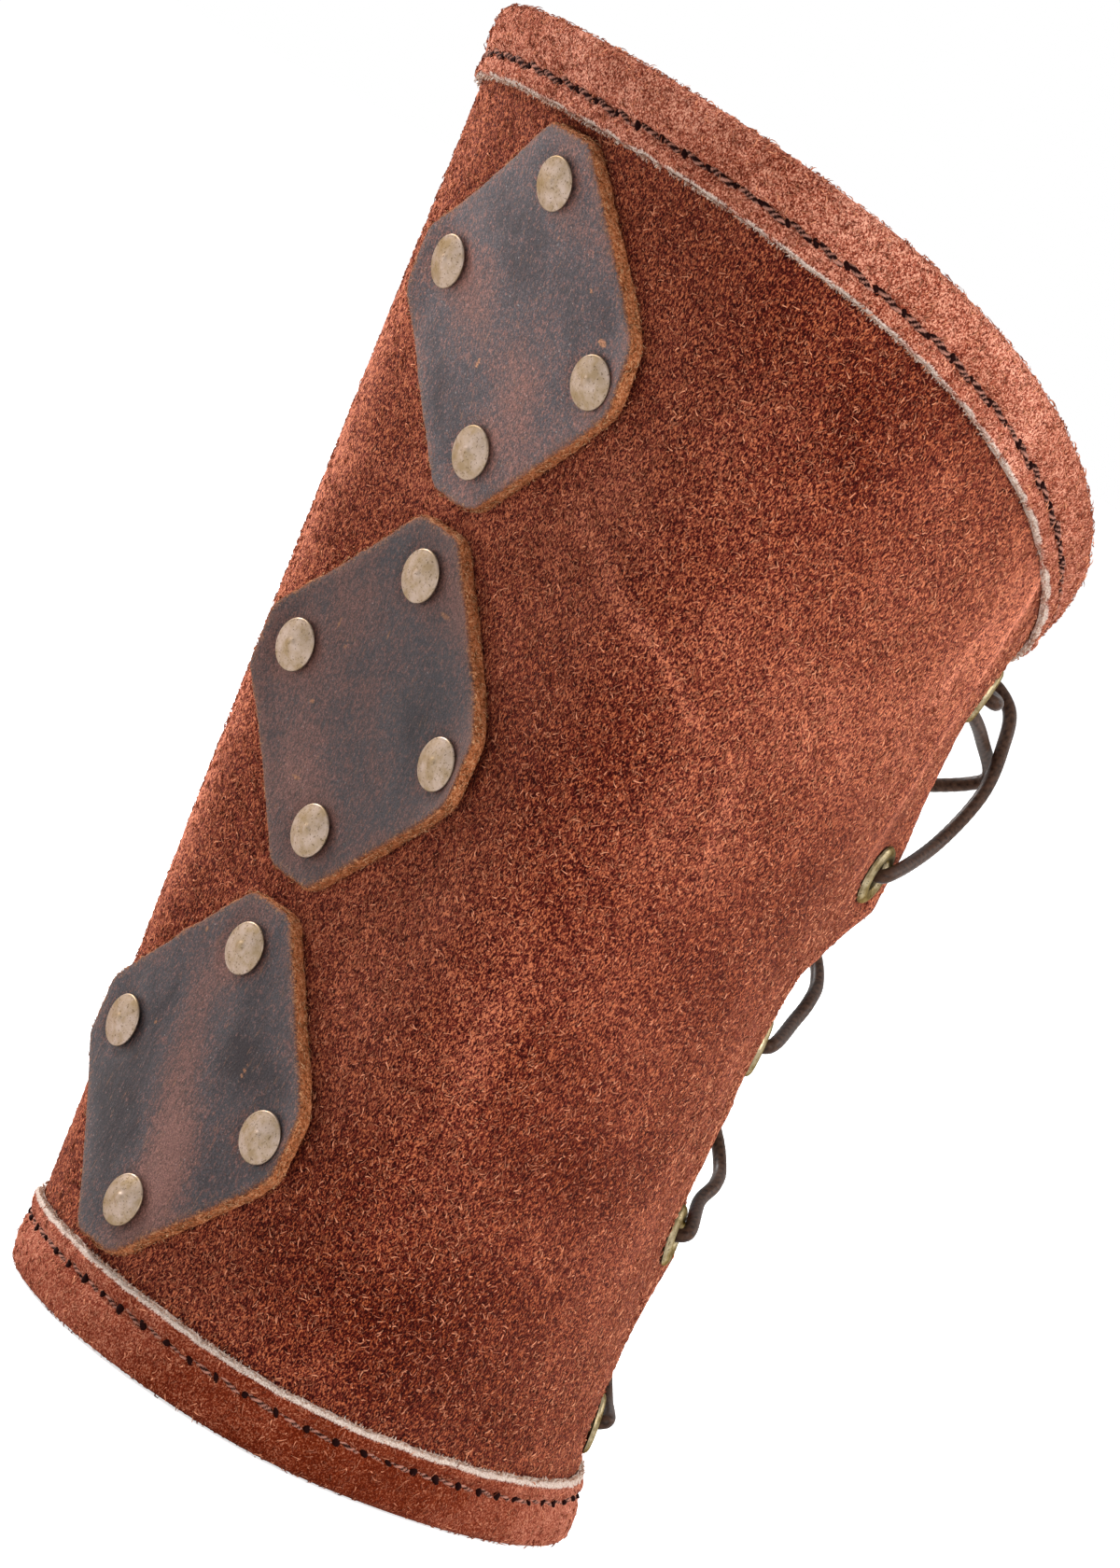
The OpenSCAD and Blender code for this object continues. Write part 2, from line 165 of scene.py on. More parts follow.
# Smooth random values from -1 to 1, size mm from one to the next
def patches(u, v, size, seed):
    wide, high, away = 127, 113, 500
    draw = np.random.default_rng(seed).uniform(-1, 1, (wide, high))
    x, y = np.asarray(u) / size + away, np.asarray(v) / size + away
    i, j = np.floor(x).astype(int), np.floor(y).astype(int)
    fx, fy = ease(x - i), ease(y - j)
    i0, i1, j0, j1 = i % wide, (i + 1) % wide, j % high, (j + 1) % high
    low = draw[i0, j0] * (1 - fx) + draw[i1, j0] * fx
    return low * (1 - fy) + (draw[i0, j1] * (1 - fx) + draw[i1, j1] * fx) * fy


# 1 in the middle of a place, falling off softly over its reach
def bell(away, reach):
    return np.exp(-((away / reach) ** 2))


# The sum of soft spots: across, up, one reach or two, and how much
def softSpots(u, v, places):
    total = 0 * u
    for across, up, *reach, much in places:
        total = total + much * bell(u - across, reach[0]) * bell(v - up, reach[-1])
    return total


# Materials
def toLinear(text):
    parts = [int(text[k : k + 2], 16) / 255 for k in (1, 3, 5)]
    return [c / 12.92 if c <= 0.04045 else ((c + 0.055) / 1.055) ** 2.4 for c in parts] + [1]


# Adds a node; inputs hold values, or nodes and sockets to link from
def add(tree, kind, inputs=None, stops=None, **settings):
    node = tree.nodes.new("ShaderNode" + kind)
    for key, value in settings.items():
        setattr(node, key, value)
    for key, value in (inputs or {}).items():
        if isinstance(value, bpy.types.Node):
            value = value.outputs[0]
        if isinstance(value, bpy.types.NodeSocket):
            tree.links.new(value, node.inputs[key])
        else:
            node.inputs[key].default_value = toLinear(value) if isinstance(value, str) else value
    if stops:
        while len(node.color_ramp.elements) < len(stops):
            node.color_ramp.elements.new(1)
        for element, (place, colour) in zip(node.color_ramp.elements, stops):
            element.position = place
            element.color = toLinear(colour)
    return node


def newMaterial(name):
    material = bpy.data.materials.new(name)
    material.use_nodes = True
    tree = material.node_tree
    tree.nodes.clear()
    return material, tree


def finishMaterial(tree, shader, height=None, depth=0.1, strength=1.0):
    if height is not None:
        bump = add(tree, "Bump", {"Height": height, "Distance": depth * mm, "Strength": strength})
        tree.links.new(bump.outputs[0], shader.inputs["Normal"])
    add(tree, "OutputMaterial", {"Surface": shader})


# Suede: split leather brushed to a short curly nap, matt; its tone follows the tufts' height, darker in the
# gaps between them, partly painted shade, and lighter on their tops, partly painted highlight
napLook = {
    # where each tone lies on the tufts' noise
    "tones": {"gap": 0.47, "low": 0.56, "mid": 0.63, "high": 0.74},
    "rawTones": {"rawDark": 0.36, "raw": 0.58},
    "clumpShare": 0.22,
    # toneShift counts in stops, wear together with painted light and shade: part of it moves the tone, the
    # rest scales it
    "toneShiftMoves": 0.07,
    "toneShiftScales": 0.55,
    "saturation": (1.1, 0.96),  # of darker and of lighter nap, lighter by wear and by painted light
    "specular": 0.04,
    "sheen": 0.14,
    "sheenRough": 0.45,
    "sheenTint": "#e6aa94",
}
suedeLooks = {
    "sleeve_suede": {
        "tuft": 0.26,  # mm across a tuft
        "clump": 1.1,  # mm across a clump of tufts
        "along": 0.5,  # tufts are longer up the sleeve
        "gap": "#300f0e",
        "low": "#5c231e",
        "mid": "#833e31",
        "high": "#cd7c5a",
        "raw": "#cfae99",
        "rawDark": "#8a5f4c",
        "depth": 0.3,
    },
    "elbow_suede": {
        "tuft": 0.3,
        "clump": 1.4,
        "along": 0.8,
        "gap": "#5c231a",
        "low": "#924834",
        "mid": "#b2634d",
        "high": "#e4a086",
        "raw": "#f3e6da",
        "rawDark": "#c4a18e",
        "depth": 0.42,
    },
    "wrist_suede": {
        "tuft": 0.28,
        "clump": 1.4,
        "along": 0.8,
        "gap": "#6c2d21",
        "low": "#8a4030",
        "mid": "#a35842",
        "high": "#c9876e",
        "raw": "#efe0d4",
        "rawDark": "#c2a593",
        "depth": 0.25,
    },
}


def suedeMaterial(name):
    look = {**napLook, **suedeLooks[name]}
    material, tree = newMaterial(name)
    place = add(tree, "TexCoord").outputs["Object"]
    toneShift, raw = (add(tree, "Attribute", attribute_name=key).outputs["Fac"] for key in ("toneShift", "raw"))
    brushed = add(tree, "Mapping", {"Vector": place, "Scale": (1, 1, look["along"])})
    tufts = add(tree, "TexNoise", {
        "Vector": brushed,
        "Scale": 1 / (look["tuft"] * mm),
        "Detail": 1.5,
        "Roughness": 0.6,
        "Distortion": 0.7,
    })
    clumps = add(tree, "TexNoise", {
        "Vector": place,
        "Scale": 1 / (look["clump"] * mm),
        "Detail": 1,
        "Distortion": 0.8,
    })
    height = add(tree, "Math", {0: clumps, 1: look["clumpShare"], 2: tufts}, operation="MULTIPLY_ADD")
    moved = add(tree, "Math", {0: toneShift, 1: look["toneShiftMoves"], 2: height}, operation="MULTIPLY_ADD")
    # the tone follows the same height as the bump: darker where low, partly painted shade, lighter where
    # high, partly painted highlight
    tone = add(tree, "ValToRGB", {0: moved}, stops=[(at, look[key]) for key, at in look["tones"].items()])
    value = add(tree, "Math", {0: toneShift, 1: look["toneShiftScales"]}, operation="MULTIPLY")
    value = add(tree, "Math", {0: 2.0, 1: value}, operation="POWER")
    dark, worn = look["saturation"]
    saturation = add(tree, "MapRange", {"Value": toneShift, "From Min": -1.0, "To Min": dark, "To Max": worn})
    pale = add(tree, "HueSaturation", {"Saturation": saturation, "Value": value, "Color": tone})
    frayed = add(tree, "Math", {0: tufts, 1: 1.2, 2: raw}, operation="MULTIPLY_ADD")
    frayed = add(tree, "MapRange", {"Value": frayed, "From Min": 1.0, "From Max": 1.25})
    frayed = add(tree, "Math", {0: frayed, 1: raw}, operation="MULTIPLY")
    cut = add(tree, "ValToRGB", {0: tufts}, stops=[(at, look[key]) for key, at in look["rawTones"].items()])
    colour = add(tree, "Mix", {"Factor": frayed, 6: pale, 7: cut}, data_type="RGBA")
    shader = add(tree, "BsdfPrincipled", {
        "Base Color": colour.outputs[2],
        "Roughness": 0.95,
        "Specular IOR Level": look["specular"],
        "Sheen Weight": look["sheen"],
        "Sheen Roughness": look["sheenRough"],
        "Sheen Tint": look["sheenTint"],
    })
    finishMaterial(tree, shader, height, look["depth"], 1.0)
    return material


# Loose suede fibres, a little paler than the nap that they stand in
def fibreMaterial(name, dark, light):
    material, tree = newMaterial(name)
    tone = add(tree, "Attribute", attribute_name="tone").outputs["Fac"]
    colour = add(tree, "ValToRGB", {0: tone}, stops=[(0.0, dark), (1.0, light)])
    shader = add(tree, "BsdfPrincipled", {"Base Color": colour, "Roughness": 0.9, "Specular IOR Level": 0.04})
    finishMaterial(tree, shader)
    return material


# Oiled pull-up leather: smooth waxy grain, rubbed to a fine red-brown speckle, with furry raw cut edges
plateLook = {
    "oil": "#544e51",
    "deep": "#3a3133",
    "warm": "#6a4a40",
    "rubbed": "#8f655c",
    "scuff": "#b37d5c",
    "dust": "#b5aeaa",
    "edge": "#ae643b",
    "edgeDark": "#44220f",
    "edgeLight": "#dca67a",
    "fineStops": 3.6,  # how many stops the finest grain spans
    "specular": 0.13,
    "smooth": 0.46,
    "rough": 0.95,
}
# Directions that the patterns are drawn out in: length share and turn
plateGrains = {
    "upright": (0.5, (0, 0, 0)),
    "drawn": (0.1, (0.1, 0.3, 0)),
    "rising": (0.1, (0.75, 0.75, 0)),
    "falling": (0.1, (-0.55, -0.55, 0)),
}
# Patterns: direction, size in mm, detail, roughness and distortion
plateNoises = {
    "patch": ("even", 13, 5, 0.6, 0.4),
    "grain": ("upright", 0.42, 3, 0.7, 0.4),
    "fine": ("even", 0.26, 1, 0.6, 0.0),
    "streak": ("drawn", 0.8, 3, 0.6, 0.3),
    "rising": ("rising", 0.55, 3, 0.75, 0.5),
    "falling": ("falling", 0.55, 3, 0.75, 0.5),
    "dust": ("even", 0.4, 0, 0.6, 0.0),
    "fur": ("even", 0.4, 2, 0.7, 0.8),
    "tuft": ("even", 1.1, 1, 0.6, 0.0),
}
# Marks laid over the ground: their pattern, from and to, how much, and their colour
plateMarks = [
    ("rising", 0.63, 0.7, 0.45, "scuff"),
    ("falling", 0.63, 0.7, 0.45, "scuff"),
    ("dust", 0.8, 0.86, 0.5, "dust"),
    ("torn", 0.95, 1.1, 0.9, "scuff"),
]


# toneShift is where the oil is rubbed off, shade counts in stops, nick is a small torn place, edge the cut
# rim
def plateMaterial():
    look = plateLook
    material, tree = newMaterial("oiled_plate_leather")
    place = add(tree, "TexCoord").outputs["Object"]
    toneShift, shade, nick, edge = (
        add(tree, "Attribute", attribute_name=key).outputs["Fac"] for key in ("toneShift", "shade", "nick", "edge")
    )
    along = {
        key: add(tree, "Mapping", {"Vector": place, "Scale": (1, 1, long), "Rotation": turned})
        for key, (long, turned) in plateGrains.items()
    }
    made = {
        key: add(tree, "TexNoise", {
            "Vector": along.get(direction, place),
            "Scale": 1 / (size * mm),
            "Detail": detail,
            "Roughness": roughness,
            "Distortion": distortion,
        })
        for key, (direction, size, detail, roughness, distortion) in plateNoises.items()
    }
    broad = add(tree, "Math", {0: toneShift, 1: 0.3}, operation="MULTIPLY")
    broad = add(tree, "Math", {0: made["patch"], 1: 0.55, 2: broad}, operation="MULTIPLY_ADD")
    broad = add(tree, "Math", {0: made["streak"], 1: 0.25, 2: broad}, operation="MULTIPLY_ADD")
    ground = add(tree, "ValToRGB", {0: broad}, stops=[
        (0.2, look["deep"]),
        (0.4, look["oil"]),
        (0.85, look["warm"]),
    ])
    speckled = add(tree, "Math", {0: made["grain"], 1: 2.4, 2: broad}, operation="MULTIPLY_ADD")
    speckled = add(tree, "MapRange", {"Value": speckled, "From Min": 1.6, "From Max": 1.98})
    colour = add(tree, "Mix", {"Factor": speckled, 6: ground, 7: look["rubbed"]}, data_type="RGBA").outputs[2]
    made["torn"] = add(tree, "Math", {0: made["fur"], 1: 0.9, 2: nick}, operation="MULTIPLY_ADD")
    for key, low, high, most, paint in plateMarks:
        marks = add(tree, "MapRange", {"Value": made[key], "From Min": low, "From Max": high, "To Max": most})
        colour = add(tree, "Mix", {"Factor": marks, 6: colour, 7: look[paint]}, data_type="RGBA").outputs[2]
    stops = add(tree, "Math", {0: made["fine"], 1: look["fineStops"], 2: shade}, operation="MULTIPLY_ADD")
    stops = add(tree, "Math", {0: stops, 1: look["fineStops"] / 2 + 0.02}, operation="SUBTRACT")
    value = add(tree, "Math", {0: 2.0, 1: stops}, operation="POWER")
    colour = add(tree, "HueSaturation", {"Value": value, "Color": colour})
    # the cut edge's colour follows its fur, which also makes its bumps: darker in the crevices, partly
    # painted shade, lighter on the tufts, partly painted highlight
    tuft = add(tree, "Math", {0: made["tuft"], 1: 0.3, 2: made["fur"]}, operation="MULTIPLY_ADD")
    cut = add(tree, "ValToRGB", {0: tuft}, stops=[
        (0.42, look["edgeDark"]),
        (0.66, look["edge"]),
        (0.9, look["edgeLight"]),
    ])
    worn = add(tree, "Math", {0: tuft, 1: 0.6, 2: edge}, operation="MULTIPLY_ADD")
    worn = add(tree, "MapRange", {"Value": worn, "From Min": 0.78, "From Max": 1.1})
    colour = add(tree, "Mix", {"Factor": worn, 6: colour, 7: cut}, data_type="RGBA").outputs[2]
    rough = add(tree, "MapRange", {"Value": worn, "To Min": look["smooth"], "To Max": look["rough"]})
    height = add(tree, "Math", {0: made["fur"], 1: worn}, operation="MULTIPLY")
    height = add(tree, "Math", {0: height, 1: 4.0, 2: made["grain"]}, operation="MULTIPLY_ADD")
    height = add(tree, "Math", {0: made["fine"], 1: 0.5, 2: height}, operation="MULTIPLY_ADD")
    shader = add(tree, "BsdfPrincipled", {
        "Base Color": colour,
        "Roughness": rough,
        "Specular IOR Level": look["specular"],
    })
    finishMaterial(tree, shader, height, 0.12, 0.9)
    return material


# Antique brass: dulled plating, satin, with small pits and darker patina where hands don't reach
brassLooks = {
    "rivet_brass": {
        "bright": "#a29084",
        "dull": "#8c7860",
        "dark": "#4e3a28",
        "rim": "#a89888",
        "rough": 0.46,
        "patch": 2.4,  # mm across a patch of patina
        "pit": 0.35,
    },
    "eyelet_brass": {
        "bright": "#a4967a",
        "dull": "#6f6044",
        "dark": "#2f261a",
        "rim": "#94876c",
        "rough": 0.38,
        "patch": 2.2,
        "pit": 0.35,
    },
}


def brassMaterial(name):
    look = brassLooks[name]
    material, tree = newMaterial(name)
    place = add(tree, "TexCoord").outputs["Object"]
    patina = add(tree, "TexNoise", {
        "Vector": place,
        "Scale": 1 / (look["patch"] * mm),
        "Detail": 3,
        "Roughness": 0.6,
    })
    pits = add(tree, "TexNoise", {"Vector": place, "Scale": 1 / (look["pit"] * mm), "Detail": 1.5})
    colour = add(tree, "ValToRGB", {0: patina}, stops=[(0.36, look["dull"]), (0.66, look["bright"])])
    pitted = add(tree, "MapRange", {
        "Value": pits,
        "From Min": 0.3,
        "From Max": 0.4,
        "To Min": 0.7,
        "To Max": 0.0,
    })
    colour = add(tree, "Mix", {"Factor": pitted, 6: colour, 7: look["dark"]}, data_type="RGBA")
    rough = add(tree, "MapRange", {
        "Value": patina,
        "From Min": 0.3,
        "From Max": 0.7,
        "To Min": look["rough"] + 0.1,
        "To Max": look["rough"],
    })
    shader = add(tree, "BsdfPrincipled", {
        "Base Color": colour.outputs[2],
        "Metallic": 1.0,
        "Roughness": rough,
        "Specular Tint": look["rim"],
    })
    finishMaterial(tree, shader, pits, 0.03, 0.4)
    return material


# Waxed cord and thread: braided or twisted, with a soft shine; their tone follows the plies, lighter on the
# crests, painted highlight, and nearly black in the gaps between them, painted shade
def cordMaterial(name, dark, light, rough, shine, grain):
    material, tree = newMaterial(name)
    place = add(tree, "TexCoord").outputs["Object"]
    fibre = add(tree, "TexNoise", {"Vector": place, "Scale": 1 / (grain * mm), "Detail": 3, "Roughness": 0.6})
    paintedCordShade = add(tree, "Attribute", attribute_name="paintedCordShade").outputs["Fac"]
    mixed = add(tree, "Math", {0: paintedCordShade, 1: 0.5, 2: fibre.outputs[0]}, operation="MULTIPLY_ADD")
    colour = add(tree, "ValToRGB", {0: mixed}, stops=[(0.35, dark), (0.95, light)])
    shader = add(tree, "BsdfPrincipled", {
        "Base Color": colour,
        "Roughness": rough,
        "Specular IOR Level": shine,
    })
    finishMaterial(tree, shader, fibre.outputs[0], 0.06, 0.5)
    return material


materials = {name: suedeMaterial(name) for name in suedeLooks}
materials["plate"] = plateMaterial()
materials.update({name: brassMaterial(name) for name in brassLooks})
materials["lace"] = cordMaterial("waxed_lace", "#2a1c15", "#573f32", rough=0.42, shine=0.09, grain=0.8)
materials["thread"] = cordMaterial("waxed_thread", "#1f0b0a", "#bd8472", rough=0.8, shine=0.03, grain=0.2)
materials["fibre"] = fibreMaterial("suede_fibres", "#864230", "#f0a07a")
materials["pale_fibre"] = fibreMaterial("raw_edge_fibres", "#b98f78", "#efe0d2")
materials["tan_fibre"] = fibreMaterial("leather_edge_fibres", "#7a4626", "#e2b286")
print("materials:", len(materials))


# Makes a piece from points in mm and faces, with values for each point that its material reads
def makePiece(name, points, faces, material, nodes=(), uv=None, values=None):
    mesh = bpy.data.meshes.new(name)
    metres = np.asarray(points, float).reshape(-1, 3) * mm
    mesh.from_pydata(metres.tolist(), [], [list(map(int, face)) for face in faces])
    mesh.validate()
    mesh.polygons.foreach_set("use_smooth", [True] * len(mesh.polygons))
    for key, value in (values or {}).items():
        layer = mesh.attributes.new(key, "FLOAT", "POINT")
        layer.data.foreach_set("value", np.asarray(value, np.float32).ravel())
    if uv is not None:
        corners = np.empty(len(mesh.loops), np.int32)
        mesh.loops.foreach_get("vertex_index", corners)
        layer = mesh.uv_layers.new(name="OFBake")
        layer.data.foreach_set("uv", np.asarray(uv, np.float32)[corners].ravel())
    mesh.materials.append(material)
    piece = bpy.data.objects.new(name, mesh)
    bpy.context.scene.collection.objects.link(piece)
    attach(piece, "root")
    if nodes:
        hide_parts(*nodes)


# Quads of a grid of columns by rows; wrapped joins the last column to the first
def gridFaces(columns, rows, wrapped=False):
    c, r = np.meshgrid(np.arange(columns if wrapped else columns - 1), np.arange(rows - 1), indexing="ij")
    n = (c + 1) % columns
    return np.stack([c * rows + r, n * rows + r, n * rows + r + 1, c * rows + r + 1], -1).reshape(-1, 4)


# Faces of a round body: a wrapped grid closed at both ends
def roundFaces(columns, rows):
    ring = np.arange(columns) * rows
    return gridFaces(columns, rows, wrapped=True).tolist() + [ring[::-1].tolist(), (ring + rows - 1).tolist()]


# Loose fibres: tapered hairs with three sides that rise from their roots and curl over
def makeFibres(name, roots, outs, along, plan, material, seed):
    draw = np.random.default_rng(seed)
    count, rings = len(roots), plan["rings"]
    length = draw.uniform(*plan["length"], (count, 1))
    turned = draw.normal(0, plan["spread"], (count, 1))
    across = np.cross(outs, along)
    heading = along * np.cos(turned) + across * np.sin(turned)
    bend = draw.normal(0, plan["curl"], (count, 1))
    rise = draw.uniform(*plan["rise"], (count, 1))
    sideways = np.cross(outs, heading)
    tone = draw.uniform(0, 1, count) ** 2
    stout = draw.uniform(0.6, 1.4, (count, 1))
    points = []
    for k in range(rings):
        t = k / (rings - 1)
        middle = (
            roots
            + heading * length * np.sin(bend * t + 1e-6) / (bend + 1e-6)
            + sideways * length * (1 - np.cos(bend * t)) / (bend + 1e-6)
            + outs * (rise * math.sin(math.pi * min(1, 0.15 + plan["droop"] * t)) - 0.05)
        )
        thick = stout * plan["thick"] / 2 * (1 - 0.75 * t)
        for corner in range(3):
            a = 2 * math.pi * corner / 3
            points.append(middle + thick * (math.cos(a) * sideways + math.sin(a) * outs))
    points = np.stack(points, 1).reshape(count, rings, 3, 3).transpose(0, 2, 1, 3)
    first = np.arange(count)[:, None, None] * 3 * rings
    fibre = roundFaces(3, rings)
    sides, ends = first + np.array(fibre[:-2]), first + np.array(fibre[-2:])
    faces = sides.reshape(-1, 4).tolist() + ends.reshape(-1, 3).tolist()
    makePiece(name, points, faces, material, values={"tone": np.repeat(tone, 3 * rings)})
    print(name, count)


# Eyelets and rivets, where the model has them
eyeletPlan = {"count": 5, "inset": 9, "lowest": 20, "pitch": 35.1}
platePlan = {
    "wide": 59,
    "high": 63,
    "thick": 3,
    "cornerCut": 11,
    "cornerRound": 4.5,
    "cornerLift": 1.2,
    "across": 43.6,
    "up": 45.8,
    "rivetsShift": 1,
}
rivetSpots = [("top", 0, 0.5), ("left", -0.5, 0), ("right", 0.5, 0), ("bottom", 0, -0.5)]
# Each plate: its seat, the slants of its pairs of rivets, and how light it is, in stops.
# shades and rubbed are soft spots; nicks are small torn places: across, up, half width and height
plates = [
    {
        "name": "upper",
        "height": 180,
        "shift": -4.8,
        "turn": 0,
        "slants": (-6, 1),
        "light": 0.05,
        "shades": [(-22, 4, 8, 0.15)],
        "rubbed": [
            (-13, 2, 7, 0.6), (-8, -5, 8, 0.5), (7, 18, 6, 0.4), (7, 4, 6, 0.25),
            (8, -9, 8, 0.7), (6, -19, 8, 0.6), (25, -8, 8, 0.2),
        ],
        "nicks": [
            (22, 4, 1.3, 0.8), (-5, -9.5, 0.5, 1.1), (16, 10.5, 0.5, 0.8),
            (4.5, -3, 0.3, 0.8), (-4, 13, 0.3, 0.6),
        ],
    },
    {
        "name": "middle",
        "height": 113.5,
        "shift": -5.2,
        "turn": 0,
        "slants": (-3.5, 0),
        "light": -0.95,
        "shades": [(-16, -4, 8, 0.25), (-8, -16, 7, 0.35), (18, 0, 9, -0.2)],
        "rubbed": [
            (0, 0, 45, 0.45), (-9, -15, 7, 0.9), (-2, -20, 7, 0.6), (-14, 14, 9, 0.5),
            (12, 24, 7, 0.9), (-20, -2, 8, 0.5), (14, 2, 8, -0.3),
        ],
        "nicks": [
            (9.5, 19.5, 1.7, 0.6), (-13.5, 8.5, 0.4, 1.5), (-10, 6, 0.35, 1.3),
            (-1.5, 11.5, 0.3, 1.1), (-12, -5, 0.7, 0.7), (-8, -17, 1.6, 0.5),
        ],
    },
    {
        "name": "lower",
        "height": 45.5,
        "shift": -4.8,
        "turn": 1.5,
        "slants": (-1, 5),
        "light": -0.65,
        "shades": [(3, -8, 7, 0.2), (8, -18, 7, 0.25), (-18, -2, 8, -0.1)],
        "rubbed": [
            (-4, 19, 7, 0.9), (-4, 9, 6, 0.8), (-1.5, 0, 5.5, 1.0), (3, -8, 6, 1.2),
            (7.5, -15, 6.5, 1.3), (9, -23, 7, 1.0), (-15, -6, 8, -0.5), (12, 6, 7, -0.2),
        ],
        "nicks": [
            (12.5, 6, 0.4, 2.4), (-11.5, 21.5, 0.5, 0.7), (18.5, 2.5, 0.4, 1.4),
            (-13, 4, 0.5, 0.8), (6, 4, 0.3, 0.6),
        ],
    },
]


def eyeletHeight(level):
    return eyeletPlan["lowest"] + level * eyeletPlan["pitch"]


def eyeletShare(side, level):
    return side * (1 - eyeletPlan["inset"] / halfGirth(eyeletHeight(level)))


def rivetPlace(plate, spot):
    height, shift = plate["height"], plate["shift"]
    u, v = spot[1] * platePlan["across"], spot[2] * platePlan["up"]
    a, b = (math.radians(slant) for slant in plate["slants"])
    x = platePlan["rivetsShift"] + u * math.cos(a) - v * math.sin(b)
    y = u * math.sin(a) + v * math.cos(b)
    n = outward(shift / halfGirth(height), height)
    z = height + y * math.sqrt(1 - n[2] ** 2)
    return (shift + x) / halfGirth(z), z


eyeletSpots = [
    (eyeletShare(side, level), eyeletHeight(level))
    for side in (1, -1)
    for level in range(eyeletPlan["count"])
]


# 1 on a diamond that passes a plate's sides by some mm, and less within it
def plateReach(plate, girth, z, past):
    across = np.abs(girth - plate["shift"]) / (platePlan["wide"] / 2 + past)
    return across + np.abs(z - plate["height"]) / (platePlan["high"] / 2 + past)


# How far points of the sleeve lie from the nearest of some spots, in mm
def nearest(s, z, spots):
    girth = s * halfGirth(z)
    gaps = [np.hypot(girth - spot[0] * halfGirth(spot[1]), z - spot[1]) for spot in spots]
    return np.min(gaps, axis=0)


# Sleeve: one sheet with a napped outside and inside and rounded cut edges
sleevePlan = {
    "grid": 1.25,
    "gridWide": 300,  # mm that the grid's columns and rows are counted for
    "gridHigh": 212,
    "napHigh": 0.1,
    "waveHigh": 0.3,
    "edgeRound": 0.45,
    "hole": 3.7,  # radius under an eyelet's flange
    "ridgeFrom": 2.6,
    "ridgeWide": 1.2,
    "ridgeHigh": 0.5,
    # a narrow fold beside both lacing edges, on the upper half
    "foldAt": 121,
    "foldWide": 2,
    "foldFrom": 120,
    "foldHigh": 0.6,
}
# Darker and lighter places, partly wear and partly painted light and shade: lighter on the left flank and the
# upper right side, painted light, and darker towards the bottom, painted shade: girth, height, reach across
# and up, and how many stops
wearAndPaintedLightSpots = [
    (50, 200, 34, 10, -0.45),
    (68, 186, 9, 10, -0.5),
    (125, 178, 16, 26, 0.6),
    (108, 158, 16, 14, 0.5),
    (78, 142, 9, 8, 0.35),
    (98, 122, 10, 12, -0.5),
    (60, 123, 5, 8, 0.45),
    (32, 128, 10, 14, -0.3),
    (47, 128, 6, 14, -0.25),
    (84, 100, 12, 10, -0.45),
    (78, 64, 20, 10, -0.65),
    (50, 30, 40, 18, -0.65),
    (55, 28, 10, 8, -0.3),
    (74, 39, 12, 7, -0.3),
    (55, 90, 45, 40, -0.25),
    (60, 160, 50, 30, -0.1),
    (-42, 82, 8, 22, 0.5),
    (137, 195, 13, 13, 1.6),
    (90, 207, 12, 7, -0.5),
    (-45, 120, 9, 90, 0.9),
    (28, 164, 10, 8, 0.4),
    (66, 150, 14, 12, 0.2),
    (34, 98, 8, 8, 0.3),
    (30, 48, 10, 6, -0.25),
    (80, 18, 24, 6, -0.3),
]
# Soft creases, lighter where the nap is rubbed; beside the lacing edges a painted highlight on the fold and
# painted shade next to it: from and to, width, and how many stops
creases = [
    (18, 159, 44, 146, 1.6, 0.6),
    (38, 151, 62, 137, 1.3, 0.55),
    (45, 97, 48, 60, 3.0, 0.35),
    (67, 137, 72, 117, 2.2, 0.45),
    (-40, 146, -8, 147, 1.5, 0.35),
    (80, 152, 96, 140, 1.8, 0.25),
    (121, 190, 126, 150, 1.4, 0.9),
    (126, 156, 124, 118, 1.7, 0.8),
    (126, 188, 137, 158, 2.6, -0.8),
    (136, 164, 139, 128, 2.8, -0.7),
    (114, 180, 108, 150, 2.5, 0.3),
    (111, 112, 105, 60, 3.0, 0.35),
    (104, 60, 100, 30, 3.0, 0.3),
    (30, 88, 46, 80, 1.8, 0.25),
]


# How light or dark the outside's nap is, in stops: wear, with painted light and shade from the spots, the
# creases and the lacing edges' ridge
def wearAndPaintedLightAt(girth, z):
    toneShift = 0.15 * patches(girth, z, 9, 4) + 0.1 * patches(girth, z, 4, 5) + softSpots(girth, z, wearAndPaintedLightSpots)
    wander = 1.2 * patches(girth, z, 11, 6)
    for g0, z0, g1, z1, wide, much in creases:
        run, rise = g1 - g0, z1 - z0
        along = np.clip(((girth - g0) * run + (z - z0) * rise) / (run * run + rise * rise), 0, 1)
        away = np.hypot(girth + wander - g0 - along * run, z + wander - z0 - along * rise)
        toneShift = toneShift + much * bell(away, wide) * np.sin(np.pi * np.clip(along, 0.05, 0.95)) ** 0.5
    # lighter on the ridge along the lacing edges, a painted highlight, and darker just inside it, painted
    # shade
    return toneShift + 0.8 * edgeRidge(girth, z) - 0.35 * edgeRidge(girth, z, 2.6)


# A soft ridge along both lacing edges, where the suede folds to and fro
def edgeRidge(girth, z, further=0):
    fromEdge = halfGirth(z) - np.abs(girth) - sleevePlan["ridgeFrom"] - further
    fromEdge = fromEdge - 0.5 * patches(girth, z, 7, 31)
    uneven = 0.75 + 0.25 * patches(girth, z, 9, 32)
    return sleevePlan["ridgeHigh"] * bell(fromEdge, sleevePlan["ridgeWide"]) * uneven


